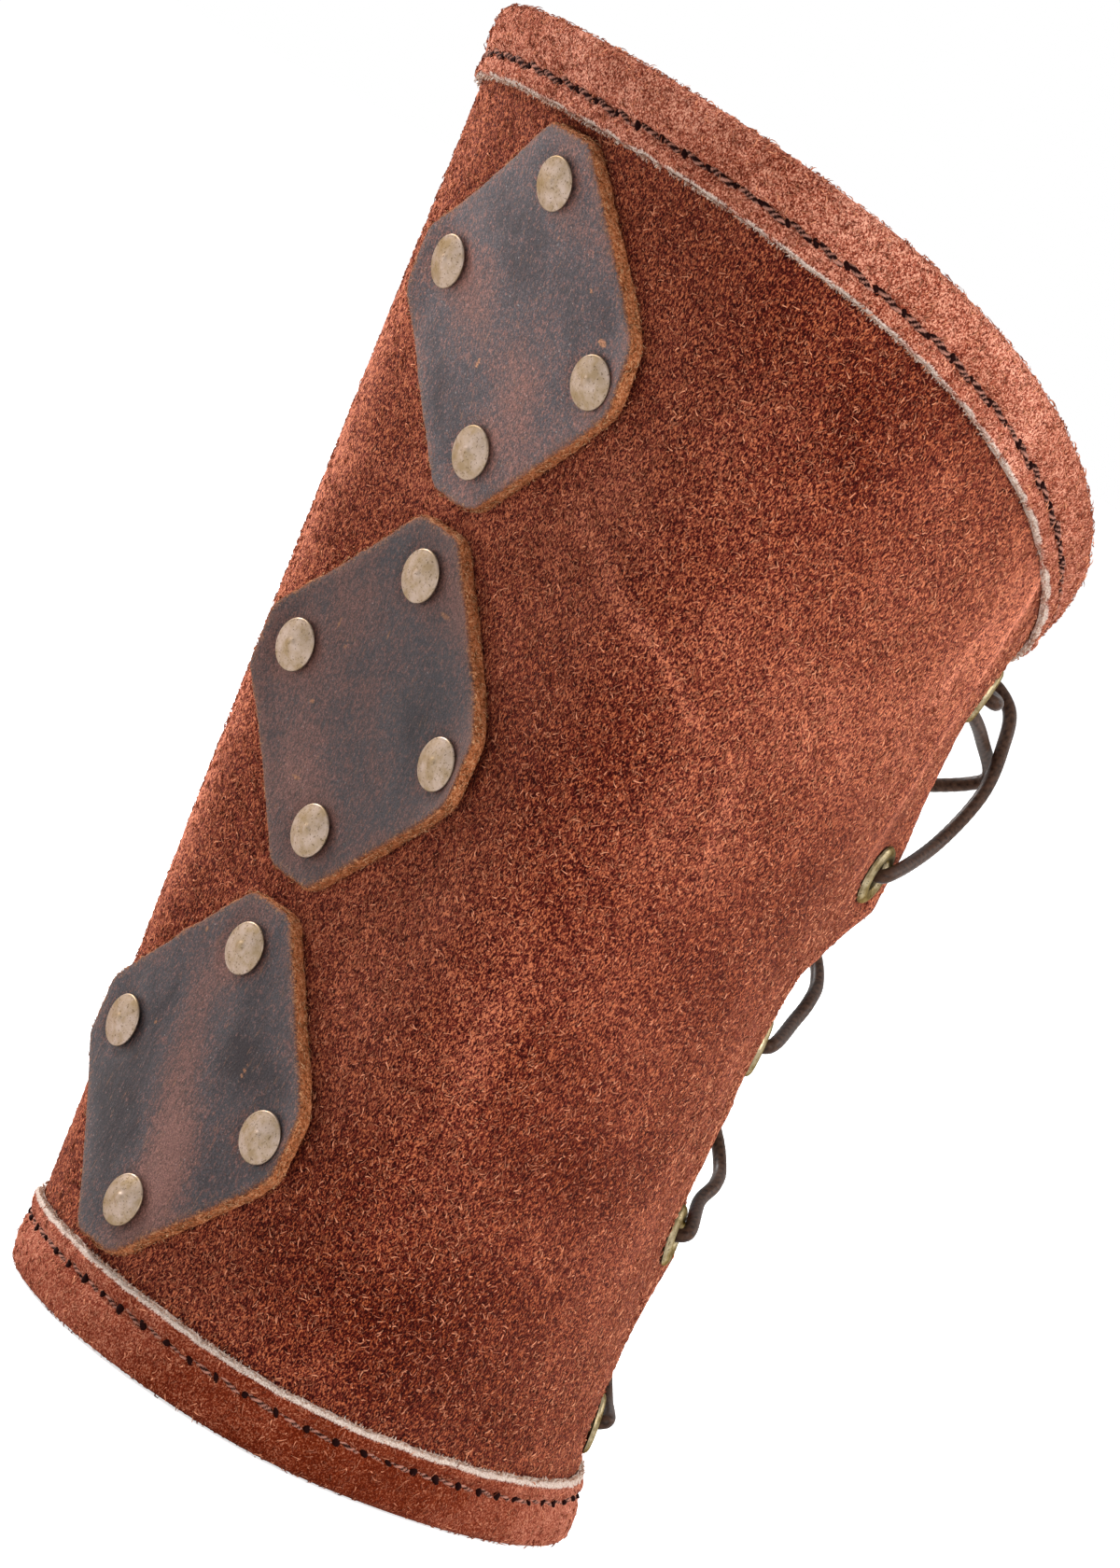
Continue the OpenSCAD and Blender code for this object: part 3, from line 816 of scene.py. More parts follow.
def makeSleeve():
    columns = int(sleevePlan["gridWide"] / sleevePlan["grid"]) + 1
    rows = int(sleevePlan["gridHigh"] / sleevePlan["grid"]) + 1
    thick, rounding = sleeveForm["suede"], 2 * sleevePlan["edgeRound"] / sleevePlan["gridWide"]
    # round the sheet: outside, cut edge, inside, cut edge
    outer = np.linspace(-1 + rounding, 1 - rounding, columns)
    edge = np.array([1 - 0.3 * rounding, 1, 1 - 0.3 * rounding])
    edgeDepth = np.array([0.15, 0.5, 0.85]) * thick
    s = np.concatenate([outer, edge, outer[::-1], -edge])
    depth = np.concatenate([np.zeros(columns), edgeDepth, np.full(columns, thick), edgeDepth[::-1]])
    high = rimHeight(s) - foldOut * rimStretch(s)
    z = wristRim + (high[:, None] - wristRim) * np.linspace(0, 1, rows)
    s, depth = np.broadcast_to(s[:, None], z.shape), np.broadcast_to(depth[:, None], z.shape)
    girth = s * halfGirth(z)
    side = np.where(depth < thick / 2, 1.0, -1.0)
    nap = patches(girth, z, 1.3, 11) + 0.7 * patches(girth, z, 2.9, 12)
    nap = sleevePlan["napHigh"] * np.where(side > 0, nap, 0.6 * patches(girth, z, 1.3, 13))
    wave = sleevePlan["waveHigh"] * (patches(girth, z, 19, 14) * 0.6 + patches(girth, z, 8, 15) * 0.25)
    wave = wave + np.where(side > 0, edgeRidge(girth, z), 0)
    fold = bell(np.abs(girth) - sleevePlan["foldAt"], sleevePlan["foldWide"])
    wave = wave + sleevePlan["foldHigh"] * fold * ease((z - sleevePlan["foldFrom"]) / 20) * side
    # pressed flat under metal, plates and bindings
    gap = nearest(s, z, eyeletSpots)
    underRim = ease((high[:, None] - z) / 4 - 2.2) * ease((z - wristRim) / 4 - 2.2)
    free = ease((gap - 5) / 2.5) * underRim
    for plate in plates:
        free = free * ease((plateReach(plate, girth, z, 0.5) - 0.93) * 6)
    wave = wave * free
    nap = nap * (0.25 + 0.75 * free) - 0.05 * (1 - free)
    dip = -0.25 * (1 - ease((gap - 4.5) / 3))
    points = offSkin(s, z, -depth + side * nap + wave + dip)
    # raw where the sheet was cut, brown everywhere else
    cutEdge = np.where((depth > 0.05) & (depth < thick - 0.05), 0.35, 0.0)
    total = len(s)
    faces = gridFaces(total, rows, wrapped=True)
    centreS = s.reshape(-1)[faces].mean(1)
    centreZ = z.reshape(-1)[faces].mean(1)
    column = np.arange(total).repeat(rows - 1)
    onOuter = column < columns - 1
    onInner = (column >= columns + 3) & (column < 2 * columns + 2)
    cut = (nearest(centreS, centreZ, eyeletSpots) < sleevePlan["hole"]) & (onOuter | onInner)
    # walls of the holes, and of the two rims, join the outside to the inside
    opposite = np.arange(total)
    opposite[:columns] = 2 * columns + 2 - np.arange(columns)

    def within(point):
        return opposite[point // rows] * rows + point % rows

    walls = []
    around = dict.fromkeys((a, b) for face in faces[cut & onOuter] for a, b in zip(face, np.roll(face, -1)))
    for a, b in around:
        if (b, a) not in around:
            walls.append((a, b, within(b), within(a)))
    for row in (0, rows - 1):
        for c in range(columns - 1):
            a, b = c * rows + row, (c + 1) * rows + row
            walls.append((a, b, within(b), within(a)) if row else (a, within(a), within(b), b))
    # outside: wear with painted light and shade, and 0.3 stops darker next to the metal, plates and bindings;
    # inside: a little lighter, at random
    toneShift = np.where(side > 0, wearAndPaintedLightAt(girth, z) - 0.3 * (1 - free), 0.25 + 0.2 * patches(girth, z, 14, 6))
    uv = np.stack([girth / sheetWide + 0.5, z / 500 + np.where(side > 0, 0.01, 0.51)], -1).reshape(-1, 2)
    makePiece(
        "suede_sleeve", points, np.concatenate([faces[~cut], np.array(walls)]),
        materials["sleeve_suede"], ["sleeve"], uv, {"toneShift": toneShift, "raw": cutEdge},
    )
    print("sleeve:", columns, "by", rows)


# Longer curls that stand out of the nap
napFibres = {
    "count": 48000,
    "pieces": 5,
    "from": 12,  # mm of height
    "to": 212,
    "offEyelet": 6.5,
    "length": (0.4, 1.8),
    "thick": 0.26,
    "spread": 1.2,
    "curl": 2.0,
    "rise": (0.08, 0.3),
    "droop": 0.8,
    "rings": 4,
}


def makeNap():
    draw = np.random.default_rng(21)
    widest = strips["elbow"]["girth"]
    girth = draw.uniform(-widest, widest, napFibres["count"] * 2)
    z = draw.uniform(napFibres["from"], napFibres["to"], napFibres["count"] * 2)
    s = girth / halfGirth(z)
    kept = (np.abs(s) < 0.995) & (z > bindingSizes["wide"] - 1)
    kept &= z < rimHeight(s) - bindingSizes["wide"] * rimStretch(s)
    kept &= nearest(s, z, eyeletSpots) > napFibres["offEyelet"]
    for plate in plates:
        kept &= plateReach(plate, girth, z, 1.5) > 1
    s, z = s[kept][: napFibres["count"]], z[kept][: napFibres["count"]]
    for number, part in enumerate(np.array_split(np.argsort(s), napFibres["pieces"])):
        up = np.tile([0, 0, 1.0], (len(part), 1))
        roots, outs = skin(s[part], z[part]), outward(s[part], z[part])
        name = "sleeve_nap_fibres_%d" % (number + 1)
        makeFibres(name, roots, outs, up, napFibres, materials["fibre"], 22 + number)


# Bindings: a strip folded over the rim, puffed on both sides of its stitching
bindingPlan = {
    "stitchFromRaw": 3.9,
    "groove": 0.55,
    "puff": 0.3,
    "napHigh": 0.2,
    "ragged": 0.22,
    "skived": 0.1,  # thinner towards the raw edge
    "grid": 0.9,
    "innerPoints": 11,  # of the section, opposite all the others at a cut end
}
# Each strip: half girth, shades (place round the girth, reach, stops), curls and stitches
strips = {
    "wrist": {
        "girth": 138,
        "seed": 40,
        "bevel": 0.8,
        "shades": [(45, 50, -0.8), (65, 30, -0.3), (118, 24, 0.5), (-15, 25, 0.3)],
        "curls": 4500,
        "curlRise": (0.03, 0.15),
        "stitchSeed": 7,
        "thread": 0.8,
        "threadRise": 0.06,
        "threadTone": 0.25,
        "holeShadeThick": 1.15,
    },
    "elbow": {
        "girth": 176,
        "seed": 60,
        "bevel": 0.45,
        "shades": [(40, 70, 0.4), (150, 30, 0.1)],
        "curls": 9500,
        "curlRise": (0.1, 0.45),
        "stitchSeed": 8,
        "thread": 1.15,
        "threadRise": 0.27,
        "threadTone": 0,
        "holeShadeThick": 1.0,
    },
}
# Pale fibres on the raw edges
rawFibres = {
    "perMillimetre": 6,
    "length": (0.25, 0.8),
    "thick": 0.24,
    "spread": 0.9,
    "curl": 1.6,
    "rise": (0.1, 0.5),
    "droop": 0.7,
    "rings": 4,
}


# Distances from the skin and down from the rim, round the strip's section
def foldSection(drop, bevel):
    deep = bindingSizes["wide"] - foldOut
    stitch = deep - bindingPlan["stitchFromRaw"]
    half = sleeveForm["suede"] / 2
    flat = deep - bevel
    down = np.r_[flat, flat - 0.3, np.arange(flat - 0.8, 0.4, -0.7)]
    thin = bindingPlan["skived"] * np.clip((down - stitch - 1) / 2.9, 0, 1) ** 2
    outside = [[foldOut - half - t, d] for d, t in zip(down, thin)]
    arc = np.radians(np.arange(0, 181, 15))
    over = [[foldOut * math.cos(a) - half, -min(drop, foldOut * math.sin(a))] for a in arc]
    inside = [[-foldOut - half + t, d] for d, t in zip(down[::-1], thin[::-1])]
    # the raw edge is cut on a slant, so that its pale inside shows
    low, slope = foldIn + 0.2, foldIn + 0.2 + 0.5 * (bindingSizes["thick"] - 0.2)
    rawIn = [[-slope - half, deep - 0.5 * bevel], [-low - half, deep], [-foldIn - half - 0.05, deep - 0.15]]
    under = [[-foldIn - half, deep / 2], [-foldIn - half, 0]]
    arcIn = np.radians(np.arange(30, 151, 30))[::-1]
    underOver = [[foldIn * math.cos(a) - half, -min(drop, foldIn * math.sin(a))] for a in arcIn]
    underOut = [[foldIn - half, 0], [foldIn - half, deep / 2]]
    rawOut = [[foldIn - half + 0.05, deep - 0.15], [low - half, deep], [slope - half, deep - 0.5 * bevel]]
    path = np.array(outside + over + inside + rawIn + under + underOver + underOut + rawOut)
    seen = len(outside) + len(over) + len(inside)
    raw = np.zeros(len(path))
    raw[seen : seen + 3] = 1
    raw[-3:] = 1
    raw[:2] = (0.9, 0.45)
    raw[seen - 2 : seen] = (0.45, 0.9)
    shown = np.zeros(len(path))
    shown[:seen] = 1
    d = path[:, 1]
    above = np.sin(np.clip((stitch - d) / stitch, 0, 1) * np.pi) ** 0.7
    below = np.sin(np.clip((d - stitch) / bindingPlan["stitchFromRaw"], 0, 1) * np.pi)
    shape = bindingPlan["puff"] * (above + 0.8 * below) - bindingPlan["groove"] * bell(d - stitch, 0.8)
    side = np.where(path[:, 0] > -half, 1.0, -1.0)
    return path, raw, shown, shape * shown * (d > 0.3), side


# Height of a strip's point that lies d mm in from its rim
def stripHeight(kind, s, d):
    return wristRim + d if kind == "wrist" else rimHeight(s) - (foldOut + d) * rimStretch(s)


def makeBinding(kind):
    strip, atWrist, name = strips[kind], kind == "wrist", kind + "_binding_suede"
    seed, widest = strip["seed"], strip["girth"]
    path, raw, shown, shape, side = foldSection(wristRim if atWrist else foldOut, strip["bevel"])
    past = bindingSizes["overhang"] / widest if atWrist else 0
    columns, m = int(2 * widest / bindingPlan["grid"]) + 1, len(path)
    s = np.linspace(-1 - past, 1 + past, columns)[:, None] * np.ones(m)
    girth = s * widest
    roundStrip = np.broadcast_to(np.cumsum(np.r_[0, np.hypot(*np.diff(path, axis=0).T)]), s.shape)
    nap = patches(girth, roundStrip, 1.1, seed) + 0.8 * patches(girth, roundStrip, 2.3, seed + 1)
    nap = bindingPlan["napHigh"] * nap * shown
    if atWrist:
        nap = nap * (path[:, 1] > -1.2)
    ownSide = 0 * girth + side * 9
    ragged = patches(girth, ownSide, 2.2, seed + 2) + 0.6 * patches(girth, ownSide, 7, seed + 3)
    ragged = bindingPlan["ragged"] * ragged * np.clip((path[:, 1] - 8) / 2.4, 0, 1)
    points = offSkin(s, stripHeight(kind, s, path[:, 1] + ragged), path[:, 0] + side * (nap + shape))
    k = np.arange(columns - 1) * m
    close = np.stack([k + m - 1, k + 2 * m - 1, k + m, k], -1)
    faces = np.concatenate([gridFaces(columns, m), close])
    if atWrist:
        faces = faces[:, ::-1]
    faces = faces.tolist()
    # the two cut ends
    for base, flip in ((0, atWrist), ((columns - 1) * m, not atWrist)):
        ring = list(range(base, base + m))
        outer, inner = ring[: -bindingPlan["innerPoints"]], ring[-bindingPlan["innerPoints"] :][::-1]
        for i in range(len(outer) - 1):
            j0, j1 = (round(j * (len(inner) - 1) / (len(outer) - 1)) for j in (i, i + 1))
            face = [outer[i], outer[i + 1], inner[j1], inner[j0]][: 3 if j0 == j1 else 4]
            faces.append(face[::-1] if flip else face)
    toneShift = 0.3 * patches(girth, roundStrip, 16, seed + 4) + 0.25 * patches(girth, roundStrip, 5, seed + 5)
    for across, reach, much in strip["shades"]:
        toneShift = toneShift + much * bell(girth - across, reach)
    rawness = np.broadcast_to(raw, s.shape).copy()
    if not atWrist:
        rawness = rawness * np.clip(0.95 + 0.6 * patches(girth, 0 * girth, 3, seed + 9), 0.4, 1)
    rawness[0], rawness[-1] = 0.8, 0.8
    uv = np.stack([girth / sheetWide + 0.5, roundStrip / 60 + 0.02], -1).reshape(-1, 2)
    makePiece(
        name, points, faces, materials[kind + "_suede"], [kind + "_binding"], uv,
        {"toneShift": toneShift, "raw": rawness},
    )
    draw = np.random.default_rng(seed + 6)
    # curls on the outside, over the fold and inside
    picked = draw.integers(1, columns - 1, strip["curls"])
    ring = draw.integers(1, int(shown.sum()) - 1, strip["curls"])
    u = points[picked + 1, ring] - points[picked - 1, ring]
    v = points[picked, ring + 1] - points[picked, ring - 1]
    outs = unit(np.cross(u, v)) * (-1 if atWrist else 1)
    roots = points[picked, ring] + draw.uniform(-0.5, 0.5, (len(ring), 1)) * u
    roots = roots + draw.uniform(-0.5, 0.5, (len(ring), 1)) * v
    curls = {**napFibres, "rise": strip["curlRise"]}
    makeFibres(name + "_curls", roots, outs, unit(v), curls, materials["fibre"], seed + 8)
    # fibres on the raw edge outside
    girth = draw.uniform(-widest, widest, int(2 * widest * rawFibres["perMillimetre"]))
    s, d = girth / widest, bindingSizes["wide"] - foldOut + draw.uniform(-0.25, 0.05, len(girth))
    n = draw.uniform(foldIn + 0.2, foldOut - 0.3, len(girth)) - sleeveForm["suede"] / 2
    z, along = stripHeight(kind, s, d), np.tile([0, 0, 1.0 if atWrist else -1.0], (len(s), 1))
    makeFibres(
        name + "_fibres", offSkin(s, z, n), outward(s, z), along,
        rawFibres, materials["pale_fibre"], seed + 7,
    )
    print(name, columns)


makeSleeve()
makeNap()
makeBinding("wrist")
makeBinding("elbow")


# A tube round a path, with a radius for each of its points and sides
def tube(path, radius, sides):
    t = unit(np.gradient(path, axis=0))
    u = np.zeros_like(t)
    first = np.cross(t[0], [0, 0, 1.0]) if abs(t[0][2]) < 0.9 else np.cross(t[0], [1.0, 0, 0])
    u[0] = first / np.linalg.norm(first)
    for i in range(1, len(t)):
        w = u[i - 1] - t[i] * (u[i - 1] @ t[i])
        u[i] = w / np.linalg.norm(w)
    v = np.cross(t, u)
    a = 2 * np.pi * np.arange(sides) / sides
    ring = np.cos(a)[:, None, None] * u + np.sin(a)[:, None, None] * v
    points = path + ring * radius.T[..., None]
    return points.reshape(-1, 3), roundFaces(sides, len(path))


# Stitches: twisted thread sunk in the seam, with a dark slanted sliver in every hole, painted shade of the
# hole
stitchPlan = {
    "pitch": 5.4,
    "seen": 4.9,
    "rings": 23,
    "sides": 8,
    "turned": 13,  # radians that the two plies turn in a stitch
    "slant": 0.5,
    "holeShade": 1.7,
    "holeShadeTurn": 0.9,
}


def makeStitches(kind):
    strip, name, sides = strips[kind], kind + "_stitching", stitchPlan["sides"]
    stitch = bindingSizes["wide"] - foldOut - bindingPlan["stitchFromRaw"]
    half = sleeveForm["suede"] / 2
    floor = foldOut - half - bindingPlan["groove"]
    towards = -1 if kind == "wrist" else 1
    allPoints, allFaces, paintedCordShade = [], [], []
    count = int(2 * strip["girth"] / stitchPlan["pitch"])
    draw = np.random.default_rng(strip["stitchSeed"])
    a = 2 * np.pi * np.arange(sides) / sides
    along = np.linspace(-0.5, 0.5, stitchPlan["rings"])
    sunk = 0.6 * (1 - np.abs(np.cos(along * np.pi)) ** 0.4)
    pointed = np.sqrt(1.05 - (2 * along) ** 2)

    def addCord(girth, d, n, radius, tone, inside):
        s = girth / strip["girth"]
        n = np.where(inside, -n - 2 * half, n)
        points, faces = tube(offSkin(s, stripHeight(kind, s, d), n), radius, sides)
        start = sum(len(p) for p in allPoints)
        allPoints.append(points)
        allFaces.extend([start + k for k in face] for face in faces)
        paintedCordShade.append(tone.T.ravel())

    for inside in (False, True):
        for i in range(count):
            middle = (-1 + (2 * i + 1) / count) * strip["girth"]
            slant = stitchPlan["slant"] * (1 + 0.5 * draw.uniform(-1, 1))
            rise = strip["threadRise"] * draw.uniform(0.4, 1.2) - sunk
            twist = stitchPlan["turned"] * draw.uniform(0.8, 1.15)
            twist = twist * (along + 0.06 * np.sin(along * 9 + draw.uniform(0, 6)))
            ply = np.cos(2 * (a + twist[:, None] + draw.uniform(0, 3)))
            radius = strip["thread"] / 2 * (1 + 0.25 * ply) * draw.uniform(0.85, 1.12)
            sway = stitch + draw.uniform(-0.2, 0.2)
            across, up = middle + along * stitchPlan["seen"], sway + towards * along * 2 * slant
            # the thread's tone follows its plies: lighter on their crests, painted highlight, darker between
            # them, painted shade
            addCord(across, up, floor + rise, radius, ply + strip["threadTone"], inside)
            # the hole at the stitch's end: a dark sliver, painted shade
            turned = stitchPlan["holeShadeTurn"] * (1 + 0.5 * draw.uniform(-1, 1))
            long = along * stitchPlan["holeShade"] * (1 + 0.35 * draw.uniform(-1, 1))
            hole = middle + stitchPlan["pitch"] / 2 + draw.uniform(-0.2, 0.2)
            radius = strip["holeShadeThick"] / 2 * draw.uniform(0.75, 1.2) * pointed[:, None]
            radius = radius * (1 + 0.3 * np.cos(2 * a + draw.uniform(0, 6) + 3 * along[:, None]))
            across, up = hole + long * math.cos(turned), sway + towards * long * math.sin(turned)
            addCord(across, up, floor + 0.12 + 0 * along, radius, radius * 0 - 1, inside)
    values = {"paintedCordShade": np.concatenate(paintedCordShade)}
    makePiece(name, np.concatenate(allPoints), allFaces, materials["thread"], values=values)
    print(name, 2 * count, "stitches")


makeStitches("wrist")
makeStitches("elbow")


# Plates: oiled leather cut to an octagon, rounded at the top rim, with a furry cut edge
def roundedOutline(points, r, steps=8):
    made = []
    count = len(points)
    for i in range(count):
        p = points[i]
        toLast, toNext = unit(points[i - 1] - p), unit(points[(i + 1) % count] - p)
        half = math.acos(float(toLast @ toNext)) / 2
        centre = p + unit(toLast + toNext) * r / math.sin(half)
        start = math.atan2(-toLast[0], toLast[1]) + math.pi
        for k in range(steps + 1):
            a = start + (math.pi - 2 * half) * k / steps
            made.append(centre + r * np.array([math.cos(a), math.sin(a)]))
    return np.array(made)


def evenly(points, spacing):
    closed = np.concatenate([points, points[:1]])
    length = np.r_[0, np.cumsum(np.hypot(*np.diff(closed, axis=0).T))]
    places = np.linspace(0, length[-1], int(length[-1] / spacing), endpoint=False)
    return np.stack([np.interp(places, length, closed[:, k]) for k in range(2)], -1)


# Where points of a plate, given across and up on its plane and over the suede, lie in space
def onPlate(plate, across, up, height):
    z0, shift, a = plate["height"], plate["shift"], math.radians(plate["turn"])
    s0 = shift / halfGirth(z0)
    origin, right, upward, n = seatOn(s0, z0)
    x = across * math.cos(a) - up * math.sin(a)
    y = across * math.sin(a) + up * math.cos(a)
    s, z = s0 + x / halfGirth(z0), z0 + y * math.sqrt(1 - n[2] ** 2)
    for step in range(9):
        side = 2 * np.abs(s * halfGirth(z) - shift) - platePlan["across"]
        lift = np.maximum(0, side / (platePlan["wide"] - platePlan["across"])) ** 2
        points = offSkin(s, z, seat + platePlan["cornerLift"] * lift + height)
        away = points - origin
        s = s + (x - away @ right) / halfGirth(z)
        z = z + (y - away @ upward)
    return points


plateFinish = {"grid": 0.55, "rimRound": 0.9, "fur": 0.2, "waves": 0.12, "pressed": 0.28}
edgeFibres = {
    "perMillimetre": 7,
    "length": (0.3, 1.0),
    "thick": 0.18,
    "spread": 0.8,
    "curl": 1.2,
    "rise": (0.05, 0.3),
    "droop": 0.6,
    "rings": 3,
}


def makePlate(plate, seed):
    name = plate["name"] + "_plate"
    w, h, c = platePlan["wide"] / 2, platePlan["high"] / 2, platePlan["cornerCut"] / 2
    corners = np.array([[w, -c], [w, c], [c, h], [-c, h], [-w, c], [-w, -c], [-c, -h], [c, -h]], float)
    outline = evenly(roundedOutline(corners, platePlan["cornerRound"]), plateFinish["grid"])
    tangent = unit(np.roll(outline, -1, 0) - np.roll(outline, 1, 0))
    normal = np.stack([tangent[:, 1], -tangent[:, 0]], -1)
    even = np.ones(len(outline))
    around = np.arange(len(outline)) * plateFinish["grid"]
    thick, curve = platePlan["thick"], plateFinish["rimRound"]
    # rings from the top's middle over the rim to the underside: outline, height and how much cut edge shows
    rings = []
    for share in 1 - (1 - np.linspace(0, 1, 36)) ** 1.3 * 0.97:
        edge = 0.36 * np.clip((share - 0.88) / 0.12, 0, 1) ** 1.5
        rings.append(((outline - normal * (1.6 * curve)) * share, thick * even, edge * even))
    # over the rim: inset, drop and cut edge
    profile = [(0.9, 0.02, 0.42), (0.55, 0.09, 0.5), (0.28, 0.25, 0.6), (0.1, 0.5, 0.75), (0.02, 0.8, 0.92)]
    profile += [(0, drop, 1) for drop in (1.1, 1.4, 1.7, 2.0, 2.3)]
    profile += [(0.06, 2.6, 1), (0.25, 2.85, 1), (0.55, 2.97, 1)]
    for k, (inset, drop, edge) in enumerate(profile):
        down = (50 + drop) * even
        fur = sum(patches(around, down, size, seed + more) for size, more in ((0.6, 0), (1.7, 1), (5, 4)))
        fur = plateFinish["fur"] * fur * min(1, k / 4)
        moved = outline + normal * (fur - inset * curve)[:, None]
        rings.append((moved, thick - drop + 0.3 * fur, edge * even))
    rings += [(outline * share, 0 * even, 0.9 * even) for share in (0.9, 0.5, 0.04)]
    flat, height, edge = (np.stack(part, 1) for part in zip(*rings))
    x, y = flat[..., 0], flat[..., 1]
    top = height > thick - 0.1
    waves = patches(x, y, 9, seed + 2) + 0.4 * patches(x, y, 3, seed + 3)
    origin, right, upward, n = seatOn(plate["shift"] / halfGirth(plate["height"]), plate["height"])
    pressed, halo = 0 * x, 0 * x
    for spot in rivetSpots:
        away = skin(*rivetPlace(plate, spot)) - origin
        gap = np.hypot(x - away @ right, y - away @ upward)
        pressed = np.maximum(pressed, 1 - ease((gap - 3.8) / 3.5))
        halo = np.maximum(halo, 1 - ease((gap - 4.5) / 4))
    height = height + np.where(top, plateFinish["waves"] * waves - plateFinish["pressed"] * pressed, 0)
    points = onPlate(plate, x, y, height)
    toneShift = -0.25 + 0.45 * halo + 0.3 * np.clip(edge / 0.3, 0, 1) * top + softSpots(x, y, plate["rubbed"])
    shade = plate["light"] + softSpots(x, y, plate["shades"])
    nick = 0 * toneShift
    for across, up, halfWide, halfHigh in plate["nicks"]:
        nick = np.maximum(nick, bell(x - across, halfWide) * bell(y - up, halfHigh) * top)
    faces = [face[::-1] for face in roundFaces(*x.shape)]
    makePiece(
        name + "_leather", points, faces, materials["plate"], [name], None,
        {"toneShift": toneShift, "edge": edge, "shade": shade, "nick": nick},
    )
    draw = np.random.default_rng(seed + 5)
    place = draw.integers(0, len(x), int(len(x) * plateFinish["grid"] * edgeFibres["perMillimetre"]))
    high = thick - draw.uniform(0.3, 2.7, len(place))
    roots = onPlate(plate, outline[place, 0], outline[place, 1], high)
    outs = normal[place, :1] * right + normal[place, 1:] * upward
    makeFibres(
        name + "_edge_fibres", roots, outs, np.cross(outs, n),
        edgeFibres, materials["tan_fibre"], seed + 6,
    )


for number, plate in enumerate(plates):
    makePlate(plate, 100 + 10 * number)
print("plates:", len(plates))


# Lace: one waxed braided cord through all ten eyelets, along the model's own route
lacePlan = {
    "thick": 2.45,
    "gap": 0.5,
    "sides": 14,
    "ring": 0.45,
    "braid": 0.02,
    "turn": 7,  # mm in which a ply goes round
    "knot": 6.5,  # mm long, and how many times as thick as the cord
    "knotThick": 1.5,
    "tail": (9.5, 6.2),  # mm inside the sleeve, where the cord ends
    "tight": [(17.5, 3.5, 3), (9, 3, 9), (0, 1.5, 17), (-10, 0, 25)],
    "near": [
        [(16.5, 3, 3), (9, 4.5, 9), (0, 4.5, 17), (-10, 2, 26)],
        [(15, 4, 5.5), (11.5, 9, 8.5), (7, 12.5, 11), (1, 12.5, 16), (-7, 6.5, 24), (-12, -0.5, 31)],
        [(15, 2.5, 5.5), (11.5, 7, 9), (7, 11, 12), (1, 12.5, 16), (-7, 7, 24), (-13, 1, 31)],
        [(16, 9, 8), (12.5, 16.5, 18.5), (9, 19, 27), (4, 20.5, 33.5), (-3, 17, 36), (-10, 8, 33)],
    ],
    "farTop": [(13, 11, 7), (7, 19, 12.5), (0, 25, 18), (-4, 24.5, 21.5), (-8, 15, 26.5), (-12, 6, 30)],
}


def holeAt(side, level, n):
    s, z = eyeletShare(side, level), eyeletHeight(level)
    return skin(s, z) + n * outward(s, z)


def laceRoute():
    suede, thick = sleeveForm["suede"], lacePlan["thick"]
    inside = -suede - thick / 2 - lacePlan["gap"]
    out = thick / 2 + lacePlan["gap"]
    top = eyeletPlan["count"] - 1
    far = [lacePlan["tight"]] * 3 + [lacePlan["farTop"]]

    def strand(side, level, points):
        z = eyeletHeight(level)
        edgeY = skin(1, z + eyeletPlan["pitch"] / 2)[1]
        free = [np.array([side * x, edgeY + y, z + up]) for x, y, up in points]
        return (
            [holeAt(side, level, -suede / 2), holeAt(side, level, out + 0.6) + [0, 0, 1.2]]
            + free
            + [offSkin(-side, z + 0.93 * eyeletPlan["pitch"], inside), holeAt(-side, level + 1, inside - 1)]
        )

    def climb(side):
        made = [holeAt(side, 0, -suede - deep) for deep in lacePlan["tail"]] + [holeAt(side, 0, inside - 1)]
        for level in range(top):
            own = side if level % 2 == 0 else -side
            made += strand(own, level, lacePlan["near"][level] if own > 0 else far[level])
        return made

    last = 1 if top % 2 == 0 else -1
    z = eyeletHeight(top)
    bar = [
        holeAt(last, top, -suede / 2),
        holeAt(last, top, out + 1),
        offSkin(last, z, out),
        np.array([0, skin(1, z)[1] + out, z + 1]),
        offSkin(-last, z, out),
        holeAt(-last, top, out + 1),
        holeAt(-last, top, -suede / 2),
    ]
    return np.array(climb(1) + bar + climb(-1)[::-1])


def smoothRoute(p, spacing):
    padded = np.concatenate([p[:1], p, p[-1:]])
    a, b, c, d = padded[:-3], padded[1:-2], padded[2:-1], padded[3:]
    t = np.linspace(0, 1, 24, endpoint=False)[:, None, None]
    curve = 0.5 * (2 * b + (c - a) * t + (2 * a - 5 * b + 4 * c - d) * t**2 + (3 * b - a - 3 * c + d) * t**3)
    curve = np.concatenate([curve.transpose(1, 0, 2).reshape(-1, 3), p[-1:]])
    length = np.r_[0, np.cumsum(np.linalg.norm(np.diff(curve, axis=0), axis=1))]
    places = np.linspace(0, length[-1], int(length[-1] / spacing))
    return np.stack([np.interp(places, length, curve[:, k]) for k in range(3)], -1), places


def makeLace():
    path, places = smoothRoute(laceRoute(), lacePlan["ring"])
    sides, r = lacePlan["sides"], lacePlan["thick"] / 2
    a = 2 * np.pi * np.arange(sides) / sides
    turned = 2 * np.pi * places[:, None] / lacePlan["turn"]
    braid = np.maximum(np.cos(4 * (a + turned)), np.cos(4 * (a - turned)))
    fromEnd = np.minimum(places, places[-1] - places)
    swell = np.sin(np.pi * np.clip((fromEnd + 0.4) / (lacePlan["knot"] + 0.5), 0, 1))
    swell = np.where(fromEnd < lacePlan["knot"], lacePlan["knotThick"] * lacePlan["thick"] * swell, 0)
    radius = np.maximum(r, swell)[:, None] * (1 + lacePlan["braid"] * (braid - 0.6))
    points, faces = tube(path, radius, sides)
    # the lace's tone follows its braid: lighter on the crests, painted highlight, darker in the gaps, painted
    # shade
    values = {"paintedCordShade": 0.4 * braid.T}
    makePiece("waxed_lace", points, faces, materials["lace"], ["lace"], values=values)
    print("lace:", round(float(places[-1])), "mm")


makeLace()


